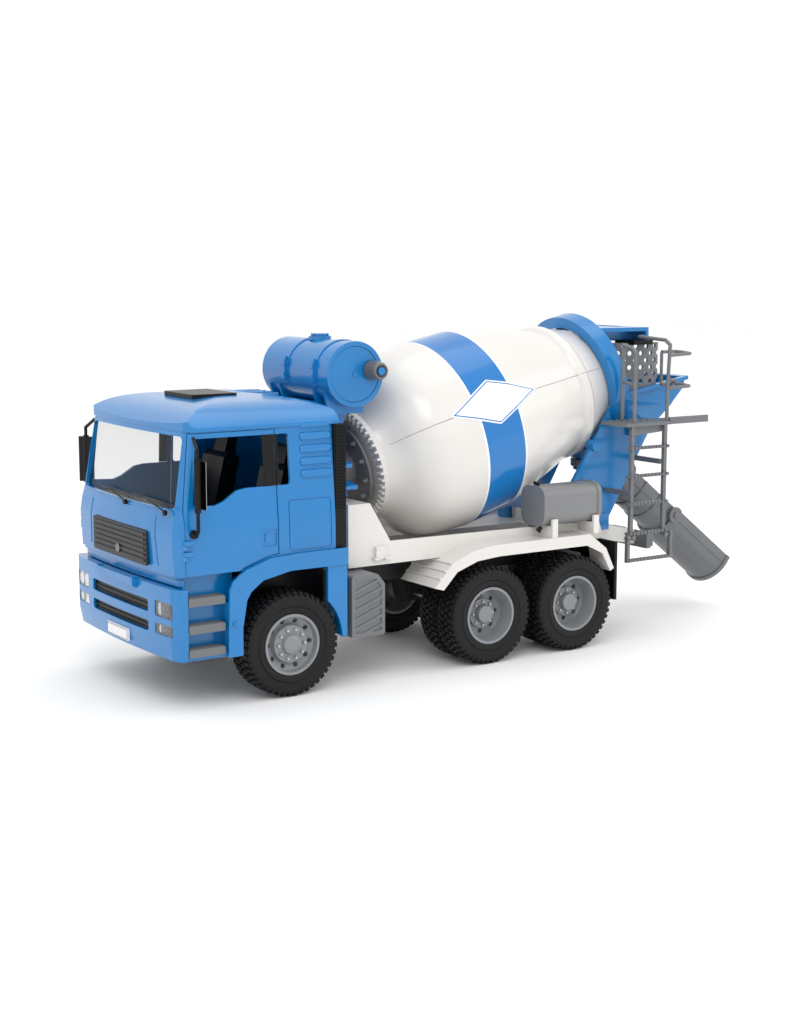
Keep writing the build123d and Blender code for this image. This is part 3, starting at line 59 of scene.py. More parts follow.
def at(x, y, z):
    """A place in metres from millimetres behind, right of and above the front axle's ground point."""
    return Vector((front_axle_x + x / 1000, y / 1000, z / 1000))


def linear(code):
    """The linear colour of an sRGB hex code."""
    parts = [int(code[i:i + 2], 16) / 255 for i in (1, 3, 5)]
    return [p / 12.92 if p <= 0.04045 else ((p + 0.055) / 1.055) ** 2.4 for p in parts] + [1.0]


def add(tree, kind, settings=None, links=None):
    """Adds a node to a material, sets its properties and sockets, and joins other sockets to it."""
    made = tree.nodes.new(kind)
    for name, value in (settings or {}).items():
        if isinstance(name, str) and hasattr(made, name):
            setattr(made, name, value)
        else:
            made.inputs[name].default_value = value
    for name, source in (links or {}).items():
        tree.links.new(source, made.inputs[name])
    return made


def moulded(name, colour, deep, gloss, grain_mm, grain_depth_mm, ior=1.53, coat=0.0, shine=0.5):
    """A moulded plastic: slow drifts in tone, a fine mould grain and slightly uneven gloss."""
    material = bpy.data.materials.new(name)
    material.use_nodes = True
    tree = material.node_tree
    surface = tree.nodes["Principled BSDF"]
    place = add(tree, "ShaderNodeTexCoord")
    drift_mm = 45
    drift = add(tree, "ShaderNodeTexNoise", {"Scale": 1000 / drift_mm, "Detail": 3.0},
                {"Vector": place.outputs["Object"]})
    tone = add(tree, "ShaderNodeMix", {"data_type": "RGBA", 6: linear(colour), 7: linear(deep)},
               {0: drift.outputs["Fac"]})
    tree.links.new(tone.outputs[2], surface.inputs["Base Color"])
    grain = add(tree, "ShaderNodeTexNoise", {"Scale": 1000 / grain_mm, "Detail": 2.0},
                {"Vector": place.outputs["Object"]})
    dull = add(tree, "ShaderNodeMapRange", {"To Min": gloss - 0.04, "To Max": gloss + 0.06},
               {"Value": grain.outputs["Fac"]})
    tree.links.new(dull.outputs[0], surface.inputs["Roughness"])
    relief = add(tree, "ShaderNodeBump", {"Strength": 0.35, "Distance": grain_depth_mm / 1000},
                 {"Height": grain.outputs["Fac"]})
    tree.links.new(relief.outputs[0], surface.inputs["Normal"])
    surface.inputs["IOR"].default_value = ior
    surface.inputs["Specular IOR Level"].default_value = shine
    surface.inputs["Coat Weight"].default_value = coat
    surface.inputs["Coat Roughness"].default_value = 0.12
    return material


def dress(names, material, edge_mm=0.35):
    """Gives CAD pieces their material and the rounded edges that the mould leaves."""
    for name in names:
        node = nodes[name]
        node.data.materials.clear()
        node.data.materials.append(material)
        if not edge_mm:
            continue
        weld = node.modifiers.new("weld", "WELD")
        weld.merge_threshold = 0.000002
        edge = node.modifiers.new("edge", "BEVEL")
        edge.width = edge_mm / 1000
        edge.segments = 2
        edge.limit_method = "ANGLE"
        edge.angle_limit = math.radians(32)
        edge.miter_outer = "MITER_ARC"
        shade = node.modifiers.new("shade", "WEIGHTED_NORMAL")
        shade.weight = 100
        for face in node.data.polygons:
            face.use_smooth = True


def piece(name, mesh, material, body, edge_mm=0.0, smooth=True):
    """Makes a mesh into a piece that rides on a body, with rounded edges where asked."""
    data = bpy.data.meshes.new(name)
    bmesh.ops.recalc_face_normals(mesh, faces=mesh.faces)
    mesh.to_mesh(data)
    mesh.free()
    for part in (material if isinstance(material, list) else [material]):
        data.materials.append(part)
    made = bpy.data.objects.new(name, data)
    bpy.context.scene.collection.objects.link(made)
    for face in data.polygons:
        face.use_smooth = smooth
    if edge_mm:
        edge = made.modifiers.new("edge", "BEVEL")
        edge.width = edge_mm / 1000
        edge.segments = 2
        edge.limit_method = "ANGLE"
    if smooth:
        made.modifiers.new("shade", "WEIGHTED_NORMAL")
    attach(made, body)
    return made


def skin(mesh, rings, around=False):
    """Adds a wall of faces from each ring of corners to the next, and back to the first if around."""
    followers = rings[1:] + rings[:1] if around else rings[1:]
    for here, there in zip(rings, followers):
        for k in range(len(here)):
            n = (k + 1) % len(here)
            mesh.faces.new((here[k], here[n], there[n], there[k]))


def capped(mesh, rings):
    """Adds a solid whose side runs through the rings and whose ends are flat."""
    mesh.faces.new(rings[0])
    mesh.faces.new(rings[-1])
    skin(mesh, rings)


def prism(mesh, outline, out):
    """Adds a straight-sided solid on an outline of places, pushed along a vector in millimetres."""
    push = Vector(out) / 1000
    low = [mesh.verts.new(p) for p in outline]
    high = [mesh.verts.new(p + push) for p in outline]
    capped(mesh, [low, high])


def bar(mesh, x, y, z):
    """Adds a rectangular solid between two limits on each axis, in millimetres."""
    outline = [at(x[0], y[0], z[0]), at(x[1], y[0], z[0]), at(x[1], y[0], z[1]), at(x[0], y[0], z[1])]
    prism(mesh, outline, (0, y[1] - y[0], 0))


def pole(mesh, start, end, radius_mm, sides=20, tip_mm=None):
    """Adds a round solid between two places, tapering to tip_mm."""
    way = (end - start).normalized()
    side = way.orthogonal().normalized()
    up = way.cross(side)
    rings = []
    for place, radius in ((start, radius_mm), (end, radius_mm if tip_mm is None else tip_mm)):
        ring = []
        for step in range(sides):
            turn = 2 * math.pi * step / sides
            out = side * math.cos(turn) + up * math.sin(turn)
            ring.append(mesh.verts.new(place + out * radius / 1000))
        rings.append(ring)
    capped(mesh, rings)


# ABS, high gloss: clean highlights, a deep clear blue and hardly any grain.
blue_abs = moulded("glossy blue ABS", "#0078bc", "#006eae", 0.20, 1.2, 0.010, coat=0.25)
dress(["cab_shell", "door_left", "door_right"], blue_abs, 0.6)

# ---- wheel arches, bumper and steps ----
# The arches, the bumper and its folding step bar are blue ABS too. Grey ribbed treads are pushed into
# the step wells. Small screw bosses stand on the arch posts.
dress(["wheel_arch_left", "wheel_arch_right", "front_bumper"], blue_abs, 0.9)
# Polypropylene, satin: a little softer and duller than the ABS beside it.
grey_pp = moulded("satin grey polypropylene", "#6f7174", "#65676a", 0.38, 0.9, 0.02, ior=1.49)
dress(["step_treads"], grey_pp, 0.25)

mesh = bmesh.new()
for side in (-1, 1):
    pole(mesh, at(-49, side * 95.0, 62), at(-49, side * 96.0, 62), 1.3, 16)
piece("arch_screws", mesh, blue_abs, "chassis", 0.15)

# black inner walls that close the wheel housings toward the frame
# Polypropylene with an etched grain: near black, with only a weak broad sheen.
black_pp = moulded("grained black polypropylene", "#0e0f10", "#0a0a0b", 0.36, 0.7, 0.03, ior=1.49,
                   shine=0.25)
mesh = bmesh.new()
for side in (-1, 1):
    bar(mesh, (-44, 46), sorted((side * 58, side * 59.4)), (58, 98.4))
piece("arch_inner_walls", mesh, black_pp, "chassis", 0.3)

# the two brackets that carry the folding step bar on the bumper
mesh = bmesh.new()
bracket_view = [(-102.3, 86.4), (-98.6, 84.2), (-96.8, 86.6), (-96.8, 92.6), (-102.3, 92.6)]
bracket_wide = 3.0
for y in (-32.6, 29.6):
    prism(mesh, [at(x, y, z) for x, z in bracket_view], (0, bracket_wide, 0))
piece("step_bar_brackets", mesh, blue_abs, "chassis", 0.3)

# blank number plate, printed white on a plate clipped below the slots
# Screen-printed inks: flat even colour with a soft gloss.
plate_white = moulded("printed white plate", "#e9eaec", "#dfe0e3", 0.32, 2.0, 0.004)
plate_edge = moulded("printed dark line", "#2a2f3a", "#2f3440", 0.4, 2.0, 0.004)
mesh = bmesh.new()
bar(mesh, (-100.6, -98.4), (-18.6, 18.6), (41.5, 50.8))
piece("number_plate", mesh, plate_white, "chassis", 0.3)
mesh = bmesh.new()
for low, high in ((42.1, 42.5), (49.8, 50.2)):
    bar(mesh, (-100.75, -100.4), (-18.0, 18.0), (low, high))
for y in (-18.0, 17.6):
    bar(mesh, (-100.75, -100.4), (y, y + 0.4), (42.1, 50.2))
piece("number_plate_line", mesh, plate_edge, "chassis")

# dark air slots: a black louvred insert behind the two bumper slots
mesh = bmesh.new()
for low, high in ((54.5, 63.5), (69.0, 79.1)):
    bar(mesh, (-95.2, -93.4), (-50.5, 50.5), (low, high))
    for step in range(3):
        z = low + 1.6 + step * (high - low - 3) / 2
        bar(mesh, (-96.2, -95.0), (-50, 50), (z - 0.4, z + 0.4))
piece("bumper_slot_mesh", mesh, black_pp, "chassis", 0.1)

# ---- headlamps ----
# Four clear polycarbonate lenses are snapped into the bumper. Bright vacuum-metallised bowls sit behind
# them, two round ones in each housing.
def clear(name, tint, rough, ior):
    """A transparent plastic with a faint ripple from the mould."""
    material = bpy.data.materials.new(name)
    material.use_nodes = True
    tree = material.node_tree
    surface = tree.nodes["Principled BSDF"]
    surface.inputs["Base Color"].default_value = linear(tint)
    surface.inputs["Transmission Weight"].default_value = 1.0
    surface.inputs["Roughness"].default_value = rough
    surface.inputs["IOR"].default_value = ior
    place = add(tree, "ShaderNodeTexCoord")
    ripple = add(tree, "ShaderNodeTexNoise", {"Scale": 55.0, "Detail": 1.0},
                 {"Vector": place.outputs["Object"]})
    relief = add(tree, "ShaderNodeBump", {"Strength": 0.06, "Distance": 0.0004},
                 {"Height": ripple.outputs["Fac"]})
    tree.links.new(relief.outputs[0], surface.inputs["Normal"])
    return material


def metal(name, colour, rough, grain_mm):
    """A bright metal surface with a fine uneven polish."""
    material = bpy.data.materials.new(name)
    material.use_nodes = True
    tree = material.node_tree
    surface = tree.nodes["Principled BSDF"]
    surface.inputs["Base Color"].default_value = linear(colour)
    surface.inputs["Metallic"].default_value = 1.0
    place = add(tree, "ShaderNodeTexCoord")
    grain = add(tree, "ShaderNodeTexNoise", {"Scale": 1000 / grain_mm, "Detail": 3.0},
                {"Vector": place.outputs["Object"]})
    dull = add(tree, "ShaderNodeMapRange", {"To Min": rough - 0.05, "To Max": rough + 0.08},
               {"Value": grain.outputs["Fac"]})
    tree.links.new(dull.outputs[0], surface.inputs["Roughness"])
    return material


# Clear polycarbonate: sharp small highlights, and the bowls show through with a faint ripple.
lens_pc = clear("clear polycarbonate lens", "#f4f6f7", 0.03, 1.58)
dress(["headlamps"], lens_pc, 0.2)
# Vacuum-metallised plastic: bright, slightly soft mirror of the room.
reflector = metal("metallised reflector", "#d9dbdd", 0.16, 1.5)
mesh = bmesh.new()
for side in (-1, 1):
    for low, high in ((55.5, 63.5), (68.5, 80.0)):
        bar(mesh, (-91.0, -89.0), sorted((side * 61, side * 84)), (low + 0.3, high - 0.3))
piece("lamp_backs", mesh, grey_pp, "chassis", 0.3)
mesh = bmesh.new()
for side in (-1, 1):
    for low, high in ((55.5, 63.5), (68.5, 80.0)):
        for y in (66.5, 77.5):
            middle = (low + high) / 2
            radius = (high - low) / 2 - 0.9
            pole(mesh, at(-91.0, side * y, middle), at(-94.0, side * y, middle), radius - 1.6, 28, radius)
piece("lamp_bowls", mesh, reflector, "chassis", 0.2)

# ---- windscreen, hatch, wipers and door pillars ----
# The screen is one clear pane clipped in from inside. The black roof hatch, the wipers and the bars in
# the door windows are separate black mouldings.
# Clear polystyrene sheet, smoked a little: the inside shows through, under a light veil of sky.
screen_pc = clear("clear tinted polystyrene", "#3a4146", 0.03, 1.59)
pane = screen_pc.node_tree.nodes["Principled BSDF"]
pane.inputs["Transmission Weight"].default_value = 0.0
pane.inputs["Alpha"].default_value = 0.16
dress(["windscreen"], screen_pc, 0)
dress(["roof_hatch"], black_pp, 0.4)
mesh = bmesh.new()
for y in (-20, -10, 0, 10, 20):
    bar(mesh, (-2, 30), (y - 1.6, y + 1.6), (219.2, 223.0 if abs(y) < 15 else 222.4))
piece("roof_ribs", mesh, blue_abs, "cab", 0.8)
mesh = bmesh.new()
for low, high in ((-82, -20), (-14, 44)):
    pole(mesh, at(-94.9, low, 150.0), at(-94.0, high, 153.2), 0.55, 10)
    pole(mesh, at(-95.4, low + 6, 146.5), at(-94.4, (low + high) / 2 + 6, 151.8), 0.65, 10)
    pole(mesh, at(-94.0, low + 6, 145.5), at(-96.4, low + 6, 145.5), 2.0, 16)
piece("wipers", mesh, black_pp, "cab")
sill_y, sill_z = 89.55, 160.6
lintel_y, lintel_z = 86.75, 198.0


def window_bar(mesh, side, x_low, x_high, thick):
    """Adds an upright bar in a side window, leaning in with the glass line."""
    outline = [at(x_low, side * sill_y, sill_z), at(x_high, side * sill_y, sill_z),
               at(x_high, side * lintel_y, lintel_z), at(x_low, side * lintel_y, lintel_z)]
    prism(mesh, outline, (0, -side * thick, 0))


for side, body in ((-1, "left_door"), (1, "right_door")):
    mesh = bmesh.new()
    window_bar(mesh, side, -21.0, -11.6, 1.8)
    piece(body + "_pillar", mesh, black_pp, body, 0.25)
mesh = bmesh.new()
for side in (-1, 1):
    window_bar(mesh, side, -10.9, -9.0, 1.2)
piece("cab_pillar_edges", mesh, black_pp, "cab", 0.25)

# five rounded louvres behind each door, moulded with the cab's side and rounded off at both ends
lowest_louvre, louvre_pitch = 167.2, 9.2
louvre_proud, louvre_half = 2.7, 3.3
louvre_swell = ((9.6, 0.35), (10.4, 0.75), (12.5, 1.0), (34.0, 1.0), (36.2, 0.75), (37.0, 0.35))
mesh = bmesh.new()
for side in (-1, 1):
    for step in range(5):
        middle = lowest_louvre + louvre_pitch * step
        wall_lean = (middle - 148) / 55 * 3.8
        wall_y = 89.75 - wall_lean
        rings = []
        for x, size in louvre_swell:
            ring = []
            for turn in range(9):
                angle = math.pi * turn / 8
                y = wall_y + louvre_proud * size * math.sin(angle) - 0.3
                z = middle - louvre_half * size * math.cos(angle)
                ring.append(mesh.verts.new(at(x, side * y, z)))
            rings.append(ring)
        capped(mesh, rings)
piece("louvres", mesh, blue_abs, "cab")

# the cab's lower nose edge, and behind it a ledge on the bumper that closes the gap between the two
def bowed_strip(mesh, back_mm, thick, low, high):
    """Adds an upright strip that follows the bow of the nose and turns in at both ends."""
    half = [(-94.0 + 3.5 * (y / 82.5) ** 2, y) for y in range(0, 81, 8)]
    half += [(-90.0, 82.6), (-87.2, 85.4)]
    front = [(x, -y) for x, y in half[:0:-1]] + half
    outer = [at(x + back_mm, y, low) for x, y in front]
    inner = [at(x + back_mm + thick, y * (1 - thick / 100), low) for x, y in front]
    prism(mesh, outer + inner[::-1], (0, 0, high - low))


mesh = bmesh.new()
bowed_strip(mesh, 0.0, 1.3, 97.6, 100.6)
piece("nose_apron", mesh, blue_abs, "cab", 0.3)
mesh = bmesh.new()
bowed_strip(mesh, 1.8, 1.2, 91.8, 97.0)
piece("bumper_ledge", mesh, blue_abs, "chassis", 0.2)

# fine raised creases on the nose: one under the screen and one at each side of the grille
nose_skin = BVHTree.FromPolygons([v.co for v in nodes["cab_shell"].data.vertices],
                                 [face.vertices for face in nodes["cab_shell"].data.polygons])


def on_nose(y, z, lift):
    """A place on the nose's skin, lift millimetres in front of it."""
    hit = nose_skin.ray_cast(at(-140, y, z), Vector((1, 0, 0)), 0.08)[0]
    return hit - Vector((lift / 1000, 0, 0))


mesh = bmesh.new()
crease_paths = [[(y, 145.0) for y in range(-80, 81, 4)]]
for side in (-1, 1):
    crease_paths.append([(side * (56.0 + 4.0 * (143.0 - z) / 38.0), z) for z in range(105, 144, 3)])
for path in crease_paths:
    level = path[0][1] == path[-1][1]
    wide_y, wide_z = (0, 0.7) if level else (0.7, 0)
    rings = [[mesh.verts.new(on_nose(y + a * wide_y, z + a * wide_z, lift))
              for a, lift in ((-1, -0.3), (-0.5, 0.45), (0.5, 0.45), (1, -0.3))] for y, z in path]
    capped(mesh, rings)
piece("nose_creases", mesh, blue_abs, "cab")

# ---- grille ----
# The grille is a dark grey plate with slats, pressed into a seat in the nose. A small oval blank shows
# where a badge would sit.
# Dark grey polypropylene: satin, so that the slats read by their soft edge light.
dark_pp = moulded("dark grey polypropylene", "#2e2f31", "#27282a", 0.42, 0.8, 0.02, ior=1.49,
                  shine=0.35)
dress(["grille"], dark_pp, 0.2)
mesh = bmesh.new()
pole(mesh, at(-98.0, 0, 109.8), at(-98.9, 0, 109.8), 3.4, 28)
piece("grille_blank", mesh, grey_pp, "cab", 0.3)

# ---- inside of the cab ----
# One dark tub makes the floor, the two seats, the engine hump and the dashboard. The wheel is pushed on
# its column.
dress(["cab_interior"], black_pp, 0.5)
dress(["steering_wheel"], black_pp, 0.3)

# ---- air intakes ----
# Two tall black intakes stand behind the doors. Their upper part is moulded as a fine grid.
dress(["intake_columns"], black_pp, 0.5)
mesh = bmesh.new()
grid_foot, grid_pitch, grid_wide = 138, 2.35, 0.9
for side in (-1, 1):
    for step in range(28):
        z = grid_foot + grid_pitch * step
        bar(mesh, (39.2, 47.6), sorted((side * 89.0, side * 90.1)), (z, z + grid_wide))
    for x in (39.6, 41.6, 43.6, 45.6, 47.2):
        bar(mesh, (x - 0.35, x + 0.35), sorted((side * 89.0, side * 90.0)), (grid_foot, 202.4))
    for step in range(28):
        z = grid_foot + grid_pitch * step
        bar(mesh, (48.0, 49.3), sorted((side * 82.8, side * 89.0)), (z, z + grid_wide))
piece("intake_grid", mesh, black_pp, "cab", 0.12)

# ---- mirrors ----
# A thin black rod bracket on each door carries a narrow mirror housing with a bright foil face.
dress(["mirror_arm_left", "mirror_arm_right"], black_pp, 0.15)
dress(["mirror_head_left", "mirror_head_right"], black_pp, 0.5)
# Hot-stamped foil: the brightest and sharpest reflection on the toy.
foil = metal("mirror foil", "#dfe2e4", 0.08, 4.0)
for side, word in ((-1, "left"), (1, "right")):
    low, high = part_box("mirror_head_" + word)
    mesh = bmesh.new()
    inset = 0.0016
    outline = [Vector((high[0] + 0.00005, y, z)) for y, z in (
        (low[1] + inset, low[2] + inset), (high[1] - inset, low[2] + inset),
        (high[1] - inset, high[2] - inset), (low[1] + inset, high[2] - inset))]
    prism(mesh, outline, (0.25, 0, 0))
    piece("mirror_foil_" + word, mesh, foil, word + "_mirror", 0.1)

# ---- chassis, engine and axles ----
# The frame rails and the toy engine are dark grey. The three axles are plain drawn steel pins.
dress(["chassis_frame", "engine_block"], dark_pp, 0.3)
# Drawn steel wire: a grey shine with fine unevenness.
drawn_steel = metal("drawn steel", "#b9bbbd", 0.28, 1.0)
dress(["front_axle", "middle_axle", "rear_axle"], drawn_steel, 0.3)

# ---- battery boxes ----
# Grey boxes behind the front arches, with slanting ribs moulded in a sunk panel.
dress(["battery_box_left", "battery_box_right"], grey_pp, 0.4)

# ---- wheels ----
# The rims are silver-grey ABS with open windows. The tyres are soft PVC with a blocky tread: four rows
# of blocks, staggered, over a smooth side wall with fine rings.
# ABS with metal flake in it: an even silver grey with a soft shine.
silver_abs = moulded("silver grey ABS", "#85888c", "#7b7e82", 0.30, 0.8, 0.01)
dress(["front_rims", "middle_rims", "rear_rims"], silver_abs, 0.25)
# Soft PVC: nearly black and quite dull, with a dim sheen on the block tops.
tyre_pvc = moulded("soft black PVC", "#131314", "#0e0e0f", 0.5, 0.8, 0.03, ior=1.52, shine=0.25)
tyre_r = 40.0
tread_r = 38.3
rim_r = 23.3
blocks_round = 46


def lathe(mesh, centre, profile, sides):
    """Adds a closed ring turned about a wheel's axle from (along, radius) pairs, in millimetres."""
    axis = Vector((0, 1, 0))
    side = axis.orthogonal().normalized()
    up = axis.cross(side)
    rings = []
    for step in range(sides):
        turn = 2 * math.pi * step / sides
        out = side * math.cos(turn) + up * math.sin(turn)
        rings.append([mesh.verts.new(centre + axis * a / 1000 + out * r / 1000) for a, r in profile])
    skin(mesh, rings, around=True)


def tread_block(mesh, centre, turn, spread, y_low, y_high, skew, base, top):
    """Adds one tread block on the tyre's crown, narrower at its top."""
    corners = []
    for radius, shrink in ((base, 1.0), (top, 0.8)):
        ring = []
        for along, across in ((-1, 0), (1, 0), (1, 1), (-1, 1)):
            angle = turn + along * spread * shrink / 2 + (skew if across else -skew)
            trim = (1 - shrink) * 1.6
            y = (y_high - trim) if across else (y_low + trim)
            ring.append(mesh.verts.new(centre + Vector((
                math.cos(angle) * radius, y, math.sin(angle) * radius)) / 1000))
        corners.append(ring)
    capped(mesh, corners)


def tyre(mesh, centre, inner, outer):
    """Adds one tyre between two distances from the middle, on the side their sign gives."""
    low, high = sorted((inner, outer))
    wide = high - low
    section = [
        (low + 1.6, rim_r), (low + 0.4, rim_r + 2.2), (low, rim_r + 5.0), (low + 0.5, rim_r + 5.6),
        (low, rim_r + 6.2), (low + 0.05, 35.2), (low + 0.9, 37.2), (low + 3.0, tread_r),
        (high - 3.0, tread_r), (high - 0.9, 37.2), (high - 0.05, 35.2), (high, rim_r + 6.2),
        (high - 0.5, rim_r + 5.6), (high, rim_r + 5.0), (high - 0.4, rim_r + 2.2), (high - 1.6, rim_r),
    ]
    lathe(mesh, centre, section, 92)
    pitch = 2 * math.pi / blocks_round
    rows = 4
    row_wide = (wide - 3.2) / rows
    for row in range(rows):
        y_low = low + 1.6 + row * row_wide + 0.35
        y_high = y_low + row_wide - 0.7
        skew = (0.012 if row in (1, 2) else 0.0) * (1 if row == 1 else -1)
        edge_row = row in (0, rows - 1)
        for step in range(blocks_round):
            turn = pitch * (step + (0.5 if row % 2 else 0.0))
            top = tyre_r - (0.25 if edge_row else 0.0)
            tread_block(mesh, centre, turn, pitch * 0.74, y_low, y_high, skew, tread_r - 0.8, top)
    for step in range(blocks_round):
        turn = pitch * step
        for face_y, inward in ((low, 1), (high, -1)):
            y_pair = sorted((face_y + inward * 0.15, face_y + inward * 2.6))
            tread_block(mesh, centre, turn, pitch * 0.5, y_pair[0], y_pair[1], 0.0, 35.4, 38.6)


single_tyres = ((-65.6, -92.4), (65.6, 92.4))
twin_tyres = ((-70.6, -92.4), (-45.6, -67.4), (70.6, 92.4), (45.6, 67.4))
for word, tyres in (("front", single_tyres), ("middle", twin_tyres), ("rear", twin_tyres)):
    mesh = bmesh.new()
    hub = Vector(joints[word + "_spin"]["pos_m"])
    for inner, outer in tyres:
        tyre(mesh, hub, inner, outer)
    made = piece(word + "_tread_tyres", mesh, tyre_pvc, word + "_wheels", smooth=False)
    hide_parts(word + "_tyres")

# bright nut heads on the rims, printed in silver
# Silver foil printed on the nuts: small bright points.
bright_nut = metal("silver printed nuts", "#c6c8ca", 0.3, 0.8)
for word, count, circle_r, reach, size in (
        ("front", 10, 11.2, 90.9, 0.95), ("middle", 8, 9.8, 81.5, 0.85), ("rear", 8, 9.8, 81.5, 0.85)):
    mesh = bmesh.new()
    hub = Vector(joints[word + "_spin"]["pos_m"])
    for side in (-1, 1):
        for step in range(count):
            turn = 2 * math.pi * step / count
            centre = hub + Vector((math.cos(turn) * circle_r, 0, math.sin(turn) * circle_r)) / 1000
            start = centre + Vector((0, side * (reach - 1.0) / 1000, 0))
            pole(mesh, start, start + Vector((0, side * 0.9 / 1000, 0)), size, 6)
    piece(word + "_nut_heads", mesh, bright_nut, word + "_wheels", 0.12)

# ---- mixer bed and mudguards ----
# The bed, its tank cheeks and the rear mudguards are warm white ABS. The mudflaps are thin black sheet.
# White ABS with a warm cast: glossy, with clear highlights along the curves.
white_abs = moulded("warm white ABS", "#dddad6", "#d4d1cc", 0.20, 1.2, 0.01, coat=0.15)
dress(["mixer_bed", "rear_fender_left", "rear_fender_right"], white_abs, 0.45)
dress(["mudflaps"], black_pp, 0.3)
mesh = bmesh.new()
for side in (-1, 1):
    for x in (86, 96):
        bar(mesh, (x - 2.5, x + 2.5), sorted((side * 70, side * 75.4)), (92.4, 94.4))
piece("bed_clips", mesh, white_abs, "chassis", 0.3)

# ---- drum ----
# Two white half shells are snapped together along the drum's sides, which leaves a fine seam. The blue
# band and a diamond sign are printed on it. The front shell carries the crown gear's teeth.
dress(["drum_shell_upper", "drum_shell_lower"], white_abs, 0)
dress(["crown_gear"], white_abs, 0.2)
dress(["mixing_fins"], white_abs, 0.3)
# A printed film of ink: as glossy as the plastic below, with a denser and more even blue.
blue_ink = moulded("printed blue band", "#0074be", "#006ab0", 0.16, 3.0, 0.004, coat=0.2)
dress(["drum_band"], blue_ink, 0)
# White ink: whiter and cooler than the warm plastic under it.
white_ink = moulded("printed white line", "#f2f3f3", "#ebecec", 0.25, 3.0, 0.004, coat=0.2)
drum_joint = joints["drum_spin"]
drum_at = Vector(drum_joint["pos_m"])
along = Vector(drum_joint["axis"]).normalized()
near = Vector((0, -1, 0))
upward = Vector((-along.z, 0, along.x))
skins = [BVHTree.FromPolygons([v.co for v in nodes[name].data.vertices],
                               [face.vertices for face in nodes[name].data.polygons])
         for name in ("drum_shell_upper", "drum_shell_lower", "drum_band")]
seam_turn = math.radians(21)


def on_drum(s, turn, lift=0.0):
    """A place on the drum's skin, by its distance along the axis and its turn up from the left side."""
    out = near * math.cos(turn) + upward * math.sin(turn)
    foot = drum_at + along * s / 1000
    hits = [skin.ray_cast(foot + out * 0.12, -out, 0.1) for skin in skins]
    reach = max((hit[0] - foot).dot(out) for hit in hits if hit[0] is not None)
    return foot + out * (reach + lift / 1000)


mesh = bmesh.new()
for middle in (60.3, 100.3):
    low, high = middle - 0.9, middle + 0.9
    rings = []
    for step in range(120):
        turn = 2 * math.pi * step / 120
        rings.append([mesh.verts.new(on_drum(s, turn, lift))
                      for s, lift in ((low, -0.4), (low, 0.12), (high, 0.12), (high, -0.4))])
    skin(mesh, rings, around=True)
piece("band_lines", mesh, white_ink, "drum")

# the diamond sign: a blank white field, a thin blue line and a white border, printed over the band
# its corners, as (millimetres along the drum's axis, degrees up from the left side)
sign_corners = [(35.6, 22.0), (81.8, 35.7), (129.0, 21.2), (78.9, 8.2)]
centre_s = sum(c[0] for c in sign_corners) / 4
centre_turn = sum(c[1] for c in sign_corners) / 4
sign_lift = 0.30


def sign_point(edge, t, grow):
    """A place on the sign: t along one of its four edges, drawn in to the middle by grow."""
    (s0, a0), (s1, a1) = sign_corners[edge], sign_corners[(edge + 1) % 4]
    s = centre_s + (s0 + (s1 - s0) * t - centre_s) * grow
    a = centre_turn + (a0 + (a1 - a0) * t - centre_turn) * grow
    return on_drum(s, math.radians(a), sign_lift)


mesh = bmesh.new()
steps = 12
# outer edge, outer and inner edge of the blue line, then steps toward the middle
levels = [1.0, 0.93, 0.875] + [0.875 * (1 - k / 8) for k in range(1, 8)]
rings = []
for level in levels:
    rings.append([mesh.verts.new(sign_point(edge, k / steps, level))
                  for edge in range(4) for k in range(steps)])
middle = mesh.verts.new(on_drum(centre_s, math.radians(centre_turn), sign_lift))
count = len(rings[0])
for level in range(len(rings) - 1):
    for i in range(count):
        j = (i + 1) % count
        here, there = rings[level], rings[level + 1]
        face = mesh.faces.new((here[i], here[j], there[j], there[i]))
        face.material_index = 1 if level == 1 else 0
for i in range(count):
    mesh.faces.new((rings[-1][i], rings[-1][(i + 1) % count], middle))
sign = piece("diamond_sign", mesh, [white_ink, blue_ink], "drum")
thick = sign.modifiers.new("film", "SOLIDIFY")
thick.thickness = 0.0004
thick.offset = -1.0

# the seam between the half shells, a fine dark line on both sides
# A gap in shadow between the shells: dull and a little darker than the white on both sides.
seam_dark = moulded("shadowed seam", "#8d8a85", "#85827d", 0.6, 1.0, 0.01)
seam_front, seam_rear, seam_steps = -8.0, 214.0, 90
seam_half = 0.24 / 70
mesh = bmesh.new()
for base in (seam_turn, seam_turn + math.pi):
    rings = []
    for step in range(seam_steps):
        s = seam_front + step * (seam_rear - seam_front) / (seam_steps - 1)
        rings.append([mesh.verts.new(on_drum(s, base + turn, lift)) for turn, lift in (
            (-seam_half, -0.4), (-seam_half, 0.1), (seam_half, 0.1), (seam_half, -0.4))])
    skin(mesh, rings)
piece("drum_seam", mesh, seam_dark, "drum")

# ---- gearbox, tower and crank ----
# The dark bearing flange is held by a ring of bright screws. The tower and tank are blue, with moulded
# straps. Turning the tank's end by its knob drives the drum.
dress(["gearbox"], grey_pp, 0.25)
dress(["drive_shaft"], dark_pp, 0.15)
dress(["drum_tower", "water_tank", "tank_end_cap", "crank_disc"], blue_abs, 0.4)
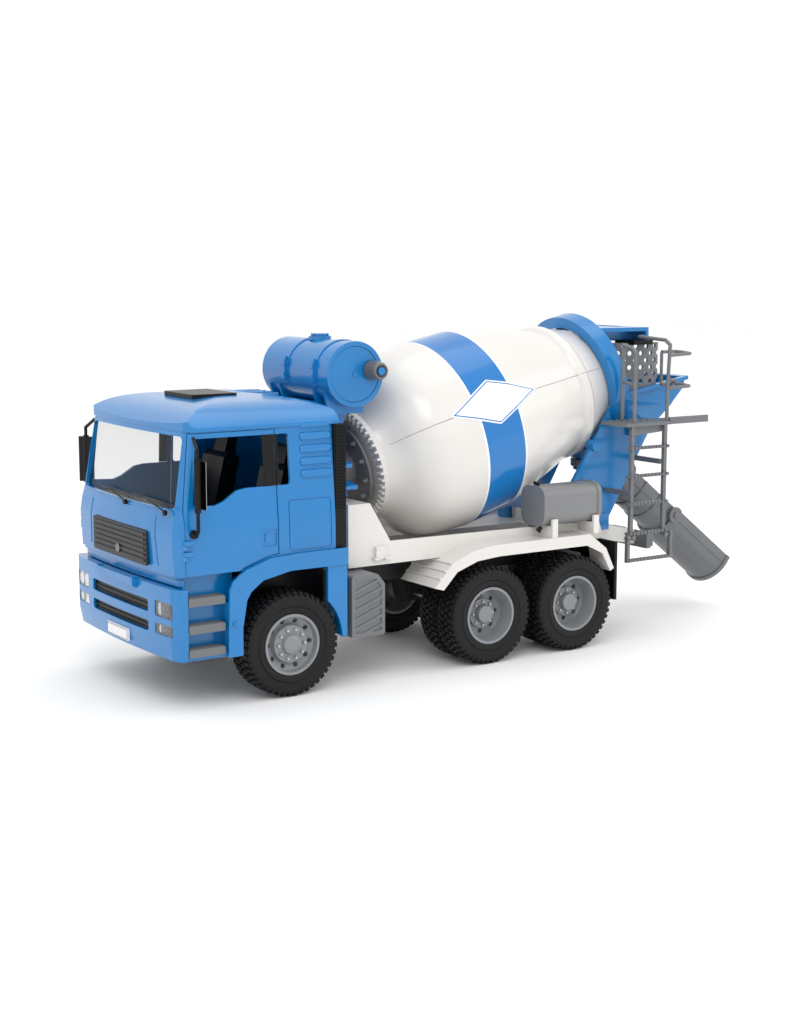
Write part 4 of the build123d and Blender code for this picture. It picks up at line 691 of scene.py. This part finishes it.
# Bronze-grey ABS: a brown tinge beside the greys, with a soft shine.
knob_metal = moulded("dark bronze grey ABS", "#6a6764", "#57544f", 0.30, 0.6, 0.02, coat=0.3)
dress(["crank_knob"], knob_metal, 0.4)
mesh = bmesh.new()
for step in range(12):
    turn = math.radians(15 + 30 * step)
    spot = drum_at - along * 0.0278 + (near * math.sin(turn) + upward * math.cos(turn)) * 0.031
    pole(mesh, spot, spot - along * 0.0008, 1.5, 6)
piece("flange_screws", mesh, bright_nut, "chassis", 0.15)
tank_at = Vector(joints["crank_spin"]["pos_m"])
mesh = bmesh.new()
for y in (-34, 10):
    # a two-part buckle on each strap, on the tank's front
    for turn, long, wide in ((0.30, 8.0, 3.0), (-0.12, 6.0, 4.2)):
        middle = Vector((-math.cos(turn), 0, math.sin(turn)))
        tangent = Vector((math.sin(turn), 0, math.cos(turn)))
        base = tank_at + middle * 0.0262 + Vector((0, (y + 2.5) / 1000, 0))
        outline = [base + tangent * a * long / 2000 + Vector((0, b * wide / 2000, 0))
                   for a, b in ((-1, -1), (1, -0.6), (1, 0.6), (-1, 1))]
        prism(mesh, outline, tuple(middle * 2.6))
piece("tank_buckles", mesh, blue_abs, "chassis", 0.4)
# eight finger grips round the filler cap on top of the tank
cap_r = 6.4
mesh = bmesh.new()
for step in range(8):
    turn = 2 * math.pi * step / 8
    out = Vector((math.cos(turn) * cap_r, 2 + math.sin(turn) * cap_r, 27.4)) / 1000
    pole(mesh, tank_at + out, tank_at + out + Vector((0, 0, 0.0024)), 1.0, 10)
piece("filler_grips", mesh, blue_abs, "chassis", 0.2)

# ---- rear frame, hopper and hood ----
# The rear frame, hopper and hood are blue ABS. The splash guards are grey with staggered punched holes.
dress(["rear_frame", "hopper", "hopper_hood"], blue_abs, 0.4)
dress(["hopper_guard"], grey_pp, 0.2)
mesh = bmesh.new()
bar(mesh, (372, 394), (-46, -20), (250.5, 254.5))
piece("guard_cap", mesh, black_pp, "chassis", 0.5)

# ---- platform, rails and ladder ----
# All grey polypropylene: a dimpled plate, bent round rails and treads with a toothed front edge.
dress(["platform"], grey_pp, 0.25)
dress(["platform_rails"], grey_pp, 0)
dress(["ladder_upper", "ladder_lower"], grey_pp, 0.2)

# ---- additive tank and light bar ----
# The long tank is darker grey with a clamped rim, small black fittings and a latch.
# Polypropylene from a polished mould: lighter and smoother than the ladder's grey.
tank_pp = moulded("smooth grey polypropylene", "#7f8082", "#747577", 0.30, 1.0, 0.01, ior=1.49, coat=0.1)
dress(["additive_tank"], tank_pp, 0.35)
dress(["rear_light_bar"], grey_pp, 0.25)
mesh = bmesh.new()
pole(mesh, at(243, -80, 104.4), at(237.5, -84, 104.4), 1.8, 16)
pole(mesh, at(240.5, -82, 101.5), at(240.5, -82, 107.5), 1.2, 14)
pole(mesh, at(245, -75, 140.6), at(240, -75, 142.4), 1.5, 14)
pole(mesh, at(300, -72, 136), at(303, -72, 139), 1.6, 14)
piece("tank_fittings", mesh, black_pp, "chassis", 0.2)

# ---- chute ----
# The chute is grey polypropylene: a turning yoke, an upper trough and a folding end, with long seams.
dress(["chute_yoke", "chute_upper", "chute_lower"], grey_pp, 0.35)
slope = math.radians(37.5)
down = Vector((math.cos(slope), 0, -math.sin(slope)))
square = Vector((math.sin(slope), 0, math.cos(slope)))


def ridge(mesh, start, low, high, half, lift, width=1.6, proud=0.9):
    """Adds a long raised line on both sides of a trough, lift above its centre line."""
    for side in (-1, 1):
        middle = math.asin(min(1.0, abs(lift) / half)) * (1 if lift >= 0 else -1)
        radial = Vector((0, side * math.cos(middle), 0)) + square * math.sin(middle)
        across = radial.cross(down).normalized()
        reach = (half + 0.02) / 1000
        outline = [start + down * a / 1000 + radial * reach + across * b * width / 2000
                   for a, b in ((low, -1), (high, -1), (high, 1), (low, 1))]
        prism(mesh, outline, tuple(radial * proud))


mesh = bmesh.new()
trunnion = Vector(joints["chute_tilt"]["pos_m"])
for lift in (-3.0, -12.0):
    ridge(mesh, trunnion, 6, 60, 20.3, lift)
piece("chute_upper_ridges", mesh, grey_pp, "chute", 0.3)
mesh = bmesh.new()
elbow = Vector(joints["chute_fold"]["pos_m"])
for lift in (-2.0, -12.0):
    ridge(mesh, elbow, 9, 79, 23.4, lift)
piece("chute_end_ridges", mesh, grey_pp, "chute_end", 0.3)

# ---- floor, light and camera ----
# A plain pale floor with soft light from large boxes above, in front and at the left.
# Matt paper: takes the soft shadow and shows no reflection.
floor_paint = moulded("pale studio paper", "#f9f9f9", "#f6f6f6", 0.8, 6.0, 0.01)
mesh = bmesh.new()
floor_half = 6.0
mesh.faces.new([mesh.verts.new((x * floor_half, y * floor_half, 0))
                for x, y in ((-1, -1), (1, -1), (1, 1), (-1, 1))])
data = bpy.data.meshes.new("studio_floor")
mesh.to_mesh(data)
mesh.free()
data.materials.append(floor_paint)
floor = bpy.data.objects.new("studio_floor", data)
bpy.context.scene.collection.objects.link(floor)

bpy.context.scene.view_settings.view_transform = "Standard"
world = bpy.data.worlds.new("studio")
bpy.context.scene.world = world
world.use_nodes = True
sky = world.node_tree.nodes["Background"]
sky.inputs["Color"].default_value = (1.0, 1.0, 1.0, 1.0)
sky.inputs["Strength"].default_value = 1.06
for name, spot, aim, power, wide in (
        ("key_box", (-0.9, -1.3, 1.5), (0.0, 0.0, 0.1), 9.0, 1.0),
        ("top_box", (0.2, 0.1, 1.9), (0.0, 0.0, 0.1), 6.0, 1.4),
        ("fill_box", (1.5, -0.9, 0.9), (0.1, 0.0, 0.1), 3.0, 1.0)):
    lamp = bpy.data.lights.new(name, "AREA")
    lamp.energy = power
    lamp.size = wide
    holder = bpy.data.objects.new(name, lamp)
    holder.location = spot
    holder.rotation_euler = (Vector(aim) - Vector(spot)).to_track_quat("-Z", "Y").to_euler()
    bpy.context.scene.collection.objects.link(holder)

azimuth, elevation = math.radians(-33.54), math.radians(8.61)
level_part = math.cos(elevation)
back = Vector((math.sin(azimuth) * level_part, -math.cos(azimuth) * level_part, math.sin(elevation)))
right = Vector((math.cos(azimuth), math.sin(azimuth), 0))
over = back.cross(right)
camera_data = bpy.data.cameras.new("camera")
camera_data.sensor_fit = "VERTICAL"
camera_data.sensor_height = 36.0
camera_data.lens = 57.77
camera_data.shift_x = 0.0035
camera_data.shift_y = -0.0014
camera = bpy.data.objects.new("camera", camera_data)
facing = Matrix((right, over, back)).transposed().to_4x4()
camera.matrix_world = Matrix.Translation(at(-596.9, -1131.7, 322.4)) @ facing
bpy.context.scene.collection.objects.link(camera)
bpy.context.scene.camera = camera
